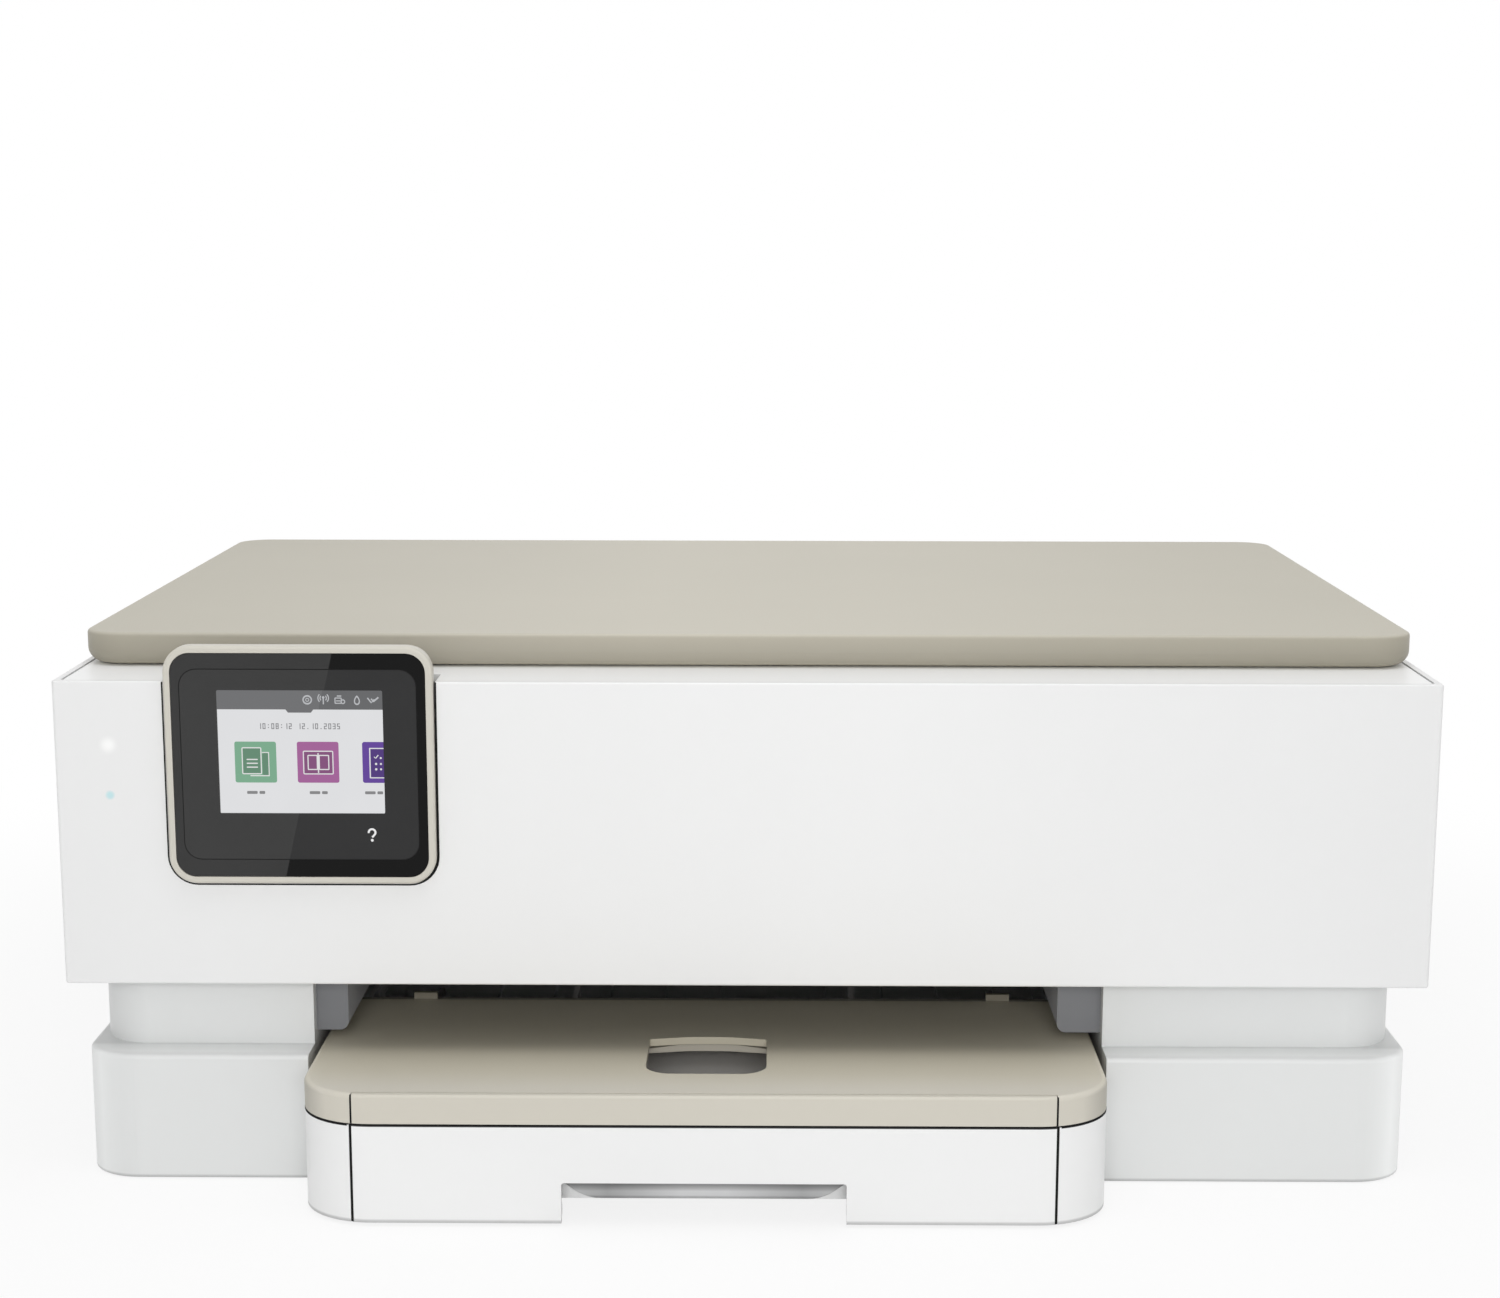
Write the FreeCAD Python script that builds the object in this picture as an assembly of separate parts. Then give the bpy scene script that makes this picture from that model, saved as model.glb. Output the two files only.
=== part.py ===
import FreeCAD
import Part
import math
import os

Vector = FreeCAD.Vector

# Every length is in millimetres. X is to the right, the front faces minus Y, Z is up.
# The origin lies on the ground below the middle of the whole printer.

# Overall sizes.
body_width = 460.0
body_depth = 337.5
tray_reach = 45.5
foot_height = 2.5
ledge_z = 44.0
panel_bottom_z = 69.0
panel_top_z = 172.5

# Clearances.
moving_gap = 0.35
seam_gap = 0.6
running_gap = 0.06
seat_gap = 0.15

# Walls.
shell_wall = 2.5
panel_wall = 2.8
pan_thickness = 2.0
top_plate = 2.5

# Base housing and the waist above its ledge.
base_inset = 3.8
base_skirt_z = 0.3
base_corner = 18.0
base_rear_corner = 12.0
waist_side = 3.4
waist_front = 14.5
waist_rear = 9.0
waist_corner = 17.0
waist_wall = 1.8
waist_rear_corner = 6.0
waist_rise = 10.0
mouth_left_margin = 81.3
channel_depth = 285.0
channel_top_z = 38.0
foot_radius = 9.0
foot_inset = 45.0
foot_front_setback = 52.0
foot_rear_setback = 34.0

# Paper tray, its cover and the pieces that ride in it.
tray_side_gap = 2.5
tray_depth = 311.0
tray_corner = 24.5
tray_wall = 2.5
tray_skirt_z = 1.1
tray_seam_z = 34.4
cover_top_z = 44.6
cover_depth = 118.5
flap_inset = 18.3
flap_thickness = 3.0
flap_hinge_z = 4.8
notch_width = 93.0
notch_top_z = 14.9
finger_width = 40.5
finger_length = 40.0
finger_arch = 3.0
finger_setback = 24.5
rib_height = 3.15
extender_length = 112.0
photo_depth = 155.0
photo_height = 6.6
photo_lane = 52.0
guide_inset = 27.4
guide_travel = 52.0
fence_front = 38.0
fence_rear = 42.0
rack_overlap = 44.0
tab_inset = 29.0
deck_inset = 9.7
guide_block_left = 11.0
guide_block_right = 15.0
guide_front = 20.0
guide_reach = 92.0
rack_setback = 100.0
ledge_start = 24.0
ledge_extra = 60.0
pinion_teeth = 16
rack_module = 1.0

# Print engine.
engine_drop = 6.0
feed_setback = 185.0
exit_setback = 122.0
feed_tyre_radius = 7.5
exit_tyre_radius = 5.5
feed_shaft_radius = 5.0
exit_shaft_radius = 3.5
feed_tyre_width = 30.0
exit_tyre_width = 14.0
tyre_inset = 51.5
plate_inset = 18.0
plate_thickness = 3.0
carriage_width = 94.0
park_gap = 3.0
carriage_overlap = 7.3
cartridge_side_gap = 1.6
beam_spacing = 54.0
rail_setback = 198.0
rail_thickness = 6.0
rail_height = 16.0
pulley_radius = 6.0
pulley_inset = 22.0
belt_thickness = 1.2
gear_module = 0.8
feed_teeth = 40
idler_teeth = 50
exit_teeth = 30
drive_teeth = 16

# Upper unit, scanner and lid.
hinge_setback = 14.0
hinge_rise = 19.0
scanner_height = 36.5
scanner_setback = 36.0
tub_inset = 6.0
scan_width = 24.0
scan_end_room = 98.0
glass_width = 312.0
glass_depth = 232.0
glass_setback = 62.0
lid_side_gap = 2.0
lid_hinge_inset = 80.0
lid_setback = 31.7
lid_rear_gap = 6.5
lid_gap = 0.4
lid_thickness = 11.2
lid_skin = 1.8
lid_corner = 14.0
lid_under_round = 5.0

# Control panel.
control_width = 89.0
control_height = 80.1
control_inset = 37.6
control_drop = 67.9
control_proud = 3.0
control_depth = 12.0
control_rim_depth = 4.6
control_neck_inset = 1.3
control_corner = 9.0
control_border = 2.3
control_pocket_corner = 6.7
control_hinge_drop = 24.7
screen_width = 54.8
screen_height = 41.4
screen_inset = 17.6
screen_rise = 24.0
light_inset = 18.0
light_high_drop = 21.5
light_low_drop = 38.5
light_radius = 1.7

# Electrical pieces and the rear door.
inlet_inset = 49.0
inlet_rise = 5.5
inlet_height = 17.0
socket_inset = 70.0
button_inset = 35.0
button_rise = 25.5
button_radius = 6.0
supply_length = 96.0
board_length = 122.0
board_left_gap = 7.2
board_right_gap = 10.0
door_left_inset = 28.7
door_right_inset = 27.3
door_rise = 9.5

# Positions that follow from the sizes above.
half_width = body_width / 2
front_y = (tray_reach - body_depth) / 2
back_y = front_y + body_depth
tray_front_y = front_y - tray_reach
pan_top_z = foot_height + pan_thickness
base_half = half_width - base_inset
waist_half = base_half - waist_side
waist_front_y = front_y + waist_front
waist_rear_y = back_y - waist_rear
waist_top_z = panel_bottom_z + waist_rise
mouth_left = mouth_left_margin - half_width
mouth_right = half_width - plate_inset - park_gap - carriage_width + carriage_overlap
mouth_width = mouth_right - mouth_left
mouth_centre = (mouth_left + mouth_right) / 2
paper_z = panel_bottom_z - engine_drop
feed_y = front_y + feed_setback
feed_z = paper_z - feed_tyre_radius
exit_y = front_y + exit_setback
exit_z = paper_z - exit_tyre_radius
hinge_y = back_y - hinge_setback
hinge_z = panel_bottom_z + hinge_rise
plate_half = half_width - plate_inset
carriage_park = plate_half - carriage_width / 2 - park_gap
pulley_reach = plate_half - pulley_inset
rail_y = front_y + rail_setback
belt_z = paper_z + 41.0
belt_y = rail_y + rail_thickness + 7.2
rear_beam_y = rail_y + beam_spacing
lid_bottom_z = panel_top_z + lid_gap
lid_front_y = front_y + lid_setback
lid_width = body_width - 2 * lid_side_gap
lid_back_y = back_y - lid_rear_gap
control_left = control_inset - half_width
control_bottom = panel_top_z - control_drop
control_right = control_left + control_width
control_top = control_bottom + control_height
control_hinge_z = control_top - control_hinge_drop
screen_left = control_left + screen_inset
screen_bottom = control_bottom + screen_rise
control_front_y = front_y - control_proud
tub_bottom_z = panel_top_z - scanner_height
tub_front_y = front_y + scanner_setback
tub_back_y = back_y - tub_inset
tub_half = half_width - tub_inset
tray_width = mouth_width - 2 * tray_side_gap
flap_width = tray_width - 2 * flap_inset
guide_open = tray_width / 2 - guide_inset
tray_left = mouth_centre - tray_width / 2
tray_right = mouth_centre + tray_width / 2
tray_rear_y = tray_front_y + tray_depth
tray_bottom_z = pan_top_z + moving_gap
tray_floor_z = tray_bottom_z + 2.5
rib_top_z = tray_floor_z + rib_height
cover_rear_y = tray_front_y + cover_depth
cover_under_z = cover_top_z - 2.5
rack_y = front_y + rack_setback
pinion_radius = pinion_teeth * rack_module / 2
photo_top_z = cover_under_z - 5.9
photo_bottom_z = photo_top_z - photo_height


def block(x0, x1, y0, y1, z0, z1):
    return Part.makeBox(x1 - x0, y1 - y0, z1 - z0, Vector(x0, y0, z0))


def rod_x(x0, x1, y, z, radius):
    return Part.makeCylinder(radius, x1 - x0, Vector(x0, y, z), Vector(1, 0, 0))


def rod_y(y0, y1, x, z, radius):
    return Part.makeCylinder(radius, y1 - y0, Vector(x, y0, z), Vector(0, 1, 0))


def rod_z(z0, z1, x, y, radius):
    return Part.makeCylinder(radius, z1 - z0, Vector(x, y, z0), Vector(0, 0, 1))


def joined(first, *others):
    return first.fuse(list(others)).removeSplitter()


def edge_loop(corners, to_space):
    # Each corner is (u, v, radius). Straight edges run between rounded corners.
    count = len(corners)
    ends = []
    for i in range(count):
        u, v, radius = corners[i]
        pu, pv, _ = corners[i - 1]
        nu, nv, _ = corners[(i + 1) % count]
        before = math.hypot(u - pu, v - pv)
        after = math.hypot(nu - u, nv - v)
        d1 = ((u - pu) / before, (v - pv) / before)
        d2 = ((nu - u) / after, (nv - v) / after)
        if radius == 0:
            ends.append(((u, v), None, (u, v)))
            continue
        turn = math.acos(max(-1.0, min(1.0, d1[0] * d2[0] + d1[1] * d2[1])))
        cut = radius * math.tan(turn / 2)
        start = (u - d1[0] * cut, v - d1[1] * cut)
        stop = (u + d2[0] * cut, v + d2[1] * cut)
        bu, bv = d2[0] - d1[0], d2[1] - d1[1]
        size = math.hypot(bu, bv)
        inward = radius / math.cos(turn / 2) - radius
        middle = (u + bu / size * inward, v + bv / size * inward)
        ends.append((start, middle, stop))
    edges = []
    for i in range(count):
        start, middle, stop = ends[i]
        if middle is not None:
            arc = Part.Arc(to_space(*start), to_space(*middle), to_space(*stop))
            edges.append(arc.toShape())
        following = ends[(i + 1) % count][0]
        if math.hypot(following[0] - stop[0], following[1] - stop[1]) > 1e-6:
            edges.append(Part.makeLine(to_space(*stop), to_space(*following)))
    return Part.Wire(Part.__sortEdges__(edges))


def extrude(corners, plane, low, high):
    if plane == "xy":
        place = lambda u, v: Vector(u, v, low)
        along = Vector(0, 0, high - low)
    elif plane == "xz":
        place = lambda u, v: Vector(u, low, v)
        along = Vector(0, high - low, 0)
    else:
        place = lambda u, v: Vector(low, u, v)
        along = Vector(high - low, 0, 0)
    return Part.Face(edge_loop(corners, place)).extrude(along)


def plain(points):
    return [(u, v, 0) for u, v in points]


def rounded_rect(u0, u1, v0, v1, low_radius, high_radius):
    return [(u0, v0, low_radius), (u1, v0, low_radius), (u1, v1, high_radius), (u0, v1, high_radius)]


def rounded_box(x0, x1, y0, y1, z0, z1, front_radius, rear_radius):
    return extrude(rounded_rect(x0, x1, y0, y1, front_radius, rear_radius), "xy", z0, z1)


def round_level(shape, z, radius):
    # Rounds every edge that lies wholly at one height.
    level = []
    for edge in shape.Edges:
        box = edge.BoundBox
        if abs(box.ZMin - z) < 0.01 and abs(box.ZMax - z) < 0.01:
            level.append(edge)
    return shape.makeFillet(radius, level)


def save(name, *solids):
    shape = solids[0]
    if len(solids) > 1:
        shape = Part.makeCompound(list(solids))
    shape.exportStep("parts/" + name + ".step")


def gear_corner_angles(teeth, module, backlash):
    pitch = teeth * module / 2
    base = pitch * math.cos(math.radians(20))
    tip = pitch + module
    root = pitch - 1.25 * module
    start = max(base, root)
    half_pitch = math.pi / (2 * teeth) - backlash / (2 * pitch)
    rolled = math.tan(math.radians(20)) - math.radians(20)

    def half_angle(radius):
        lean = math.acos(base / radius)
        return half_pitch + rolled - (math.tan(lean) - lean)

    return root, start, tip, half_angle


def gear(teeth, module, phase, to_space, along, bore, backlash=0.16):
    # One closed outline of teeth with rolled flanks, then a bore through the middle.
    root, start, tip, half_angle = gear_corner_angles(teeth, module, backlash)
    middle = (start + tip) / 2
    step = 2 * math.pi / teeth

    def at(radius, angle):
        return to_space(radius * math.cos(angle), radius * math.sin(angle))

    edges = []
    for i in range(teeth):
        centre = phase + i * step
        foot = half_angle(start)
        body = half_angle(middle)
        top = half_angle(tip)
        if start - root > 1e-6:
            edges.append(Part.makeLine(at(root, centre - foot), at(start, centre - foot)))
        rise = Part.Arc(at(start, centre - foot), at(middle, centre - body), at(tip, centre - top))
        edges.append(rise.toShape())
        land = Part.Arc(at(tip, centre - top), at(tip, centre), at(tip, centre + top))
        edges.append(land.toShape())
        fall = Part.Arc(at(tip, centre + top), at(middle, centre + body), at(start, centre + foot))
        edges.append(fall.toShape())
        if start - root > 1e-6:
            edges.append(Part.makeLine(at(start, centre + foot), at(root, centre + foot)))
        gap_end = centre + step - foot
        gap_mid = (centre + foot + gap_end) / 2
        gap = Part.Arc(at(root, centre + foot), at(root, gap_mid), at(root, gap_end))
        edges.append(gap.toShape())
    wheel = Part.Face(Part.Wire(edges)).extrude(along)
    hole = Part.makeCylinder(bore, along.Length, to_space(0, 0), along)
    return wheel.cut(hole)


def mesh_phase(phase, teeth, toward, other_teeth):
    # Turns the second gear so that its gap faces the first gear's tooth.
    ahead = (toward - phase) * teeth / (2 * math.pi)
    return toward + math.pi - (0.5 - ahead) * 2 * math.pi / other_teeth


def rack(x0, x1, pitch_y, toward, module, depth, z0, z1, backlash=0.16):
    # A straight toothed bar along X. A gap lies at the middle of the tray.
    step = math.pi * module
    lean = math.tan(math.radians(20))
    half = step / 4 - backlash / 2
    tip = pitch_y + toward * module
    root = pitch_y - toward * 1.25 * module
    spine = root - toward * depth
    points = [(x0, spine), (x0, root)]
    first = math.ceil((x0 - mouth_centre) / step - 0.5 + 0.5)
    last = math.floor((x1 - mouth_centre) / step - 0.5 - 0.5)
    for i in range(first, last + 1):
        centre = mouth_centre + (i + 0.5) * step
        wide = half + 1.25 * module * lean
        slim = half - module * lean
        points += [(centre - wide, root), (centre - slim, tip), (centre + slim, tip), (centre + wide, root)]
    points += [(x1, root), (x1, spine)]
    return extrude(plain(points), "xy", z0, z1)


# Base housing.
inlet_x = inlet_inset - half_width
inlet_low_z = pan_top_z + inlet_rise
inlet_top_z = inlet_low_z + inlet_height
inlet_z = (inlet_low_z + inlet_top_z) / 2
socket_x = half_width - socket_inset
button_x = half_width - button_inset
button_z = pan_top_z + button_rise
board_z = pan_top_z + 5.5
board_top_z = board_z + 1.6
door_left = mouth_left + door_left_inset
door_right = mouth_right - door_right_inset
door_hinge_z = pan_top_z + door_rise
door_top_z = ledge_z - 4.0
barrel_radius = 2.0
screw_spots = [(side * reach, y) for side in (-1, 1)
               for reach, y in ((half_width - 45.0, front_y + 9.0), (half_width - 22.0, back_y - 6.5))]


def make_base_shell():
    outer = rounded_box(-base_half, base_half, front_y, back_y, base_skirt_z, ledge_z,
                        base_corner, base_rear_corner)
    outer = round_level(outer, ledge_z, 1.6)
    outer = round_level(outer, base_skirt_z, 0.8)
    waist = rounded_box(-waist_half, waist_half, waist_front_y, waist_rear_y, ledge_z - 1.0,
                        waist_top_z, waist_corner, waist_rear_corner)
    low_half = base_half - shell_wall
    low_room = rounded_box(-low_half, low_half, front_y + shell_wall, back_y - shell_wall,
                           base_skirt_z - 1.0, ledge_z - shell_wall,
                           base_corner - shell_wall, base_rear_corner - shell_wall)
    high_half = waist_half - waist_wall
    high_room = rounded_box(-high_half, high_half, waist_front_y + waist_wall,
                            waist_rear_y - waist_wall, ledge_z - shell_wall - 1.0, waist_top_z + 1.0,
                            waist_corner - waist_wall, waist_rear_corner - waist_wall)
    mouth = block(mouth_left, mouth_right, front_y - 1.0, waist_front_y + shell_wall + 1.0,
                  base_skirt_z - 1.0, waist_top_z + 1.0)
    shell = outer.fuse(waist).cut(low_room).cut(high_room).cut(mouth)
    extras = []
    for x0, x1 in ((mouth_left - shell_wall, mouth_left), (mouth_right, mouth_right + shell_wall)):
        extras.append(block(x0, x1, front_y, front_y + channel_depth, pan_top_z, channel_top_z))
        extras.append(block(x0, x1, front_y, waist_front_y + 6.0, channel_top_z, ledge_z - 1.6))
        extras.append(block(x0, x1, waist_front_y, front_y + guide_reach, channel_top_z, waist_top_z))
    for x, y in screw_spots:
        extras.append(rod_z(pan_top_z, ledge_z - 1.0, x, y, 3.6))
    for x0, x1 in ((door_left - 5.0, door_left), (door_right, door_right + 5.0)):
        extras.append(block(x0, x1, back_y - 5.0, back_y - 1.0, door_hinge_z - 4.5, door_hinge_z + 4.5))
    shell = shell.fuse(extras)
    tools = []
    for x, y in screw_spots:
        tools.append(rod_z(pan_top_z - 1.0, pan_top_z + 9.0, x, y, 1.5))
    tools.append(block(door_left, door_right, back_y - shell_wall - 0.1, back_y + 1.0,
                       door_hinge_z - barrel_radius - 0.4, door_top_z + 0.4))
    tools.append(rod_x(door_left - 4.0, door_right + 4.0, back_y - barrel_radius, door_hinge_z,
                       1.2 + running_gap))
    tools.append(block(inlet_x - 12.0, inlet_x + 12.0, back_y - 4.0, back_y + 1.0,
                       inlet_low_z, inlet_top_z))
    tools.append(block(socket_x - 6.6, socket_x + 6.6, back_y - 4.0, back_y + 1.0,
                       board_top_z, board_top_z + 11.6))
    tools.append(rod_y(back_y - 4.0, back_y + 1.0, button_x, button_z, button_radius + moving_gap))
    return shell.cut(tools).removeSplitter()


def make_bottom_pan():
    inset = shell_wall + seat_gap
    pan = rounded_box(-base_half + inset, base_half - inset, front_y + inset, back_y - inset,
                      foot_height, pan_top_z, base_corner - inset, base_rear_corner - inset)
    holes = []
    for x, y in screw_spots:
        holes.append(rod_z(foot_height - 1.0, pan_top_z + 1.0, x, y, 1.6))
    return pan.cut(holes)


def make_feet():
    feet = []
    for x in (-half_width + foot_inset, half_width - foot_inset):
        for y in (front_y + foot_front_setback, back_y - foot_rear_setback):
            foot = rod_z(0.0, foot_height, x, y, foot_radius)
            feet.append(round_level(foot, 0.0, 0.8))
    return feet


def make_screws():
    screws = []
    for x, y in screw_spots:
        head = rod_z(foot_height - 1.3, foot_height, x, y, 2.9)
        slot = block(x - 1.9, x + 1.9, y - 0.4, y + 0.4, foot_height - 2.0, foot_height - 0.6)
        stem = rod_z(foot_height, pan_top_z + 8.5, x, y, 1.45)
        screws.append(joined(head.cut(slot), stem))
    return screws


# Chassis and what it carries.
pick_y = feed_y - 13.0
pick_z = paper_z - 20.0
pick_length = 62.0
pick_roller_radius = 9.0
beam_y = exit_y - 24.0
beam_top_z = panel_bottom_z + 7.0
gear_outer_x = -(plate_half + plate_thickness + 5.5)
gear_inner_x = gear_outer_x + 4.3
centre_gap = gear_module * (feed_teeth + idler_teeth) / 2
exit_gap = gear_module * (idler_teeth + exit_teeth) / 2
drive_gap = gear_module * (feed_teeth + drive_teeth) / 2
span = math.hypot(exit_y - feed_y, exit_z - feed_z)
along_span = (centre_gap ** 2 - exit_gap ** 2 + span ** 2) / (2 * span)
off_span = math.sqrt(centre_gap ** 2 - along_span ** 2)
unit_y = (exit_y - feed_y) / span
unit_z = (exit_z - feed_z) / span
idler_y = feed_y + unit_y * along_span - unit_z * off_span
idler_z = feed_z + unit_z * along_span + unit_y * off_span
drive_angle = math.radians(-60)
drive_y = feed_y + drive_gap * math.cos(drive_angle)
drive_z = feed_z + drive_gap * math.sin(drive_angle)


def make_chassis():
    top = belt_z + rail_height / 2 + 7.0
    outline = plain([(beam_y - 4.0, pan_top_z), (hinge_y, pan_top_z), (hinge_y, hinge_z),
                     (hinge_y - 5.0, hinge_z + 6.0), (rear_beam_y + 6.0, top), (rail_y - 10.0, top),
                     (beam_y - 4.0, beam_top_z + 4.0)])
    pieces = []
    for side in (-1, 1):
        low = min(side * plate_half, side * (plate_half + plate_thickness))
        pieces.append(extrude(outline, "yz", low, low + plate_thickness))
        pieces.append(rod_x(low, low + plate_thickness, hinge_y, hinge_z, 7.5))
        pin = side * (plate_half + plate_thickness)
        end = side * (plate_half + plate_thickness + 5.0)
        pieces.append(rod_x(min(pin, end), max(pin, end), hinge_y, hinge_z, 4.0))
    pieces.append(block(-plate_half, plate_half, beam_y, beam_y + 6.0, beam_top_z - 8.0, beam_top_z))
    pieces.append(block(-plate_half, plate_half, rear_beam_y, rear_beam_y + 3.0, paper_z, top - 1.0))
    pieces.append(rod_x(-plate_half, plate_half, pick_y, pick_z, 3.0))
    pieces.append(rod_y(belt_y - 2.0, rear_beam_y, -pulley_reach, belt_z, 2.0))
    pieces.append(rod_x(gear_outer_x, -plate_half - plate_thickness, idler_y, idler_z, 3.0))
    frame = pieces[0].fuse(pieces[1:])
    reach = plate_half + plate_thickness + 1.0
    holes = [rod_x(-reach, reach, feed_y, feed_z, feed_shaft_radius + running_gap),
             rod_x(-reach, reach, exit_y, exit_z, exit_shaft_radius + running_gap),
             rod_x(-reach, -plate_half + 1.0, drive_y, drive_z, 3.0)]
    return frame.cut(holes).removeSplitter()


def make_rail():
    return block(-plate_half, plate_half, rail_y, rail_y + rail_thickness,
                 belt_z - rail_height / 2, belt_z + rail_height / 2)


platen_right = mouth_right + shell_wall
platen_front_y = exit_y + 10.0
platen_rear_y = feed_y - 14.0


def make_platen():
    bed = block(-plate_half, platen_right, platen_front_y, platen_rear_y, paper_z - 13.0, paper_z - 3.0)
    ribs = []
    count = 12
    spread = (mouth_right - mouth_left - 24.0) / (count - 1)
    for i in range(count):
        x = mouth_left + 12.0 + i * spread
        ribs.append(block(x - 1.5, x + 1.5, platen_front_y + 1.0, platen_rear_y - 1.0,
                          paper_z - 4.0, paper_z - 1.0))
    for x0 in (mouth_left - shell_wall, mouth_right):
        ribs.append(block(x0, x0 + shell_wall, platen_front_y + 8.0, platen_rear_y - 8.0,
                          channel_top_z, paper_z - 12.0))
    return joined(bed, *ribs)


def make_belt():
    inner = pulley_radius + 0.1
    outer = inner + belt_thickness

    def band(radius):
        corners = rounded_rect(-pulley_reach - radius, pulley_reach + radius,
                               belt_z - radius, belt_z + radius, radius * 0.9999, radius * 0.9999)
        return extrude(corners, "xz", belt_y + 1.2, belt_y + 5.8)

    return band(outer).cut(band(inner))


def make_pulley(x, bore):
    wheel = rod_y(belt_y, belt_y + 7.0, x, belt_z, pulley_radius)
    near = rod_y(belt_y, belt_y + 0.8, x, belt_z, pulley_radius + 2.0)
    far = rod_y(belt_y + 6.2, belt_y + 7.0, x, belt_z, pulley_radius + 2.0)
    return joined(wheel, near, far).cut(rod_y(belt_y - 1.0, belt_y + 8.0, x, belt_z, bore))


def make_carriage_motor():
    can = rod_y(rear_beam_y - 30.0, rear_beam_y, pulley_reach, belt_z, 13.0)
    nose = rod_y(rear_beam_y - 33.0, rear_beam_y - 30.0, pulley_reach, belt_z, 5.0)
    shaft = rod_y(belt_y - 1.5, rear_beam_y - 30.0, pulley_reach, belt_z, 1.5)
    return joined(can, nose, shaft)


def make_feed_motor():
    can = rod_x(-plate_half, -plate_half + 28.0, drive_y, drive_z, 12.0)
    shaft = rod_x(gear_outer_x, -plate_half, drive_y, drive_z, 1.5)
    return joined(can, shaft)


def gear_at(teeth, y, z, phase, bore):
    place = lambda u, v: Vector(gear_outer_x, y + u, z + v)
    return gear(teeth, gear_module, phase, place, Vector(gear_inner_x - gear_outer_x, 0, 0), bore)


to_idler = math.atan2(idler_z - feed_z, idler_y - feed_y)
to_exit = math.atan2(exit_z - idler_z, exit_y - idler_y)
feed_phase = 0.0
idler_phase = mesh_phase(feed_phase, feed_teeth, to_idler, idler_teeth)
exit_phase = mesh_phase(idler_phase, idler_teeth, to_exit, exit_teeth)
drive_phase = mesh_phase(feed_phase, feed_teeth, drive_angle, drive_teeth)


def make_shaft(y, z, radius):
    return rod_x(gear_outer_x, plate_half + plate_thickness, y, z, radius)


def make_tyres(y, z, inner, outer, width):
    tyres = []
    reach = mouth_width / 2 - tyre_inset
    for share in (-1.0, -1 / 3, 1 / 3, 1.0):
        x = mouth_centre + reach * share
        tyre = rod_x(x - width / 2, x + width / 2, y, z, outer)
        tyres.append(tyre.cut(rod_x(x - width, x + width, y, z, inner)))
    return tyres


station_left = platen_right
station_top_z = paper_z - 15.0
nozzle_z = paper_z + 1.5
bay_offset = carriage_width / 4 - 0.6
bay_half = bay_offset - 1.3
cartridge_half = bay_half - cartridge_side_gap
nozzle_half = cartridge_half / 2
cap_wall = 1.5
cap_half = nozzle_half + cap_wall
stem_reach = 26.0
stem_radius = 4.0
stem_depth = 26.0
station_mid = (station_left + plate_half) / 2
station_rear_y = platen_rear_y - 4.0
station_y = (platen_front_y + station_rear_y) / 2


def make_station():
    tub = block(station_left, plate_half, platen_front_y + 1.0, station_rear_y, pan_top_z, station_top_z)
    room = block(station_left + 3.0, plate_half - 3.0, platen_front_y + 4.0, station_rear_y - 3.0,
                 pan_top_z + 3.0, station_top_z + 1.0)
    tub = tub.cut(room)
    bosses = []
    holes = []
    for side in (-1, 1):
        x = station_mid + side * stem_reach
        bosses.append(rod_z(pan_top_z + 1.0, station_top_z, x, station_y, stem_radius + 3.0))
        holes.append(rod_z(station_top_z - stem_depth, station_top_z + 1.0, x, station_y,
                           stem_radius + running_gap))
    return joined(tub, *bosses).cut(holes)


def make_cap_sled():
    left = station_left + 2.5
    right = plate_half - 2.5
    deck = block(left, right, station_y - 13.0, station_y + 13.0, station_top_z + 6.0,
                 station_top_z + 10.0)
    pieces = []
    for side in (-1, 1):
        cap_x = carriage_park + side * bay_offset
        cap = block(cap_x - cap_half, cap_x + cap_half, station_y - 11.0, station_y + 11.0,
                    station_top_z + 9.0, nozzle_z - 0.5)
        well = block(cap_x - nozzle_half, cap_x + nozzle_half, station_y - 9.0, station_y + 9.0,
                     station_top_z + 11.0, nozzle_z)
        pieces.append(cap.cut(well))
        stem_x = station_mid + side * stem_reach
        pieces.append(rod_z(station_top_z - stem_depth + 8.0, station_top_z + 7.0, stem_x, station_y,
                            stem_radius))
    return joined(deck, *pieces)


# Print carriage with its cartridges and latches.
carriage_front_y = exit_y - 10.0
carriage_rear_y = rail_y - 4.0
carriage_floor_z = paper_z + 5.0
carriage_top_z = belt_z + rail_height / 2
latch_z = carriage_top_z - 24.0
latch_y = carriage_front_y - moving_gap - 1.6


def bay_x(side):
    return carriage_park + side * bay_offset


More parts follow.
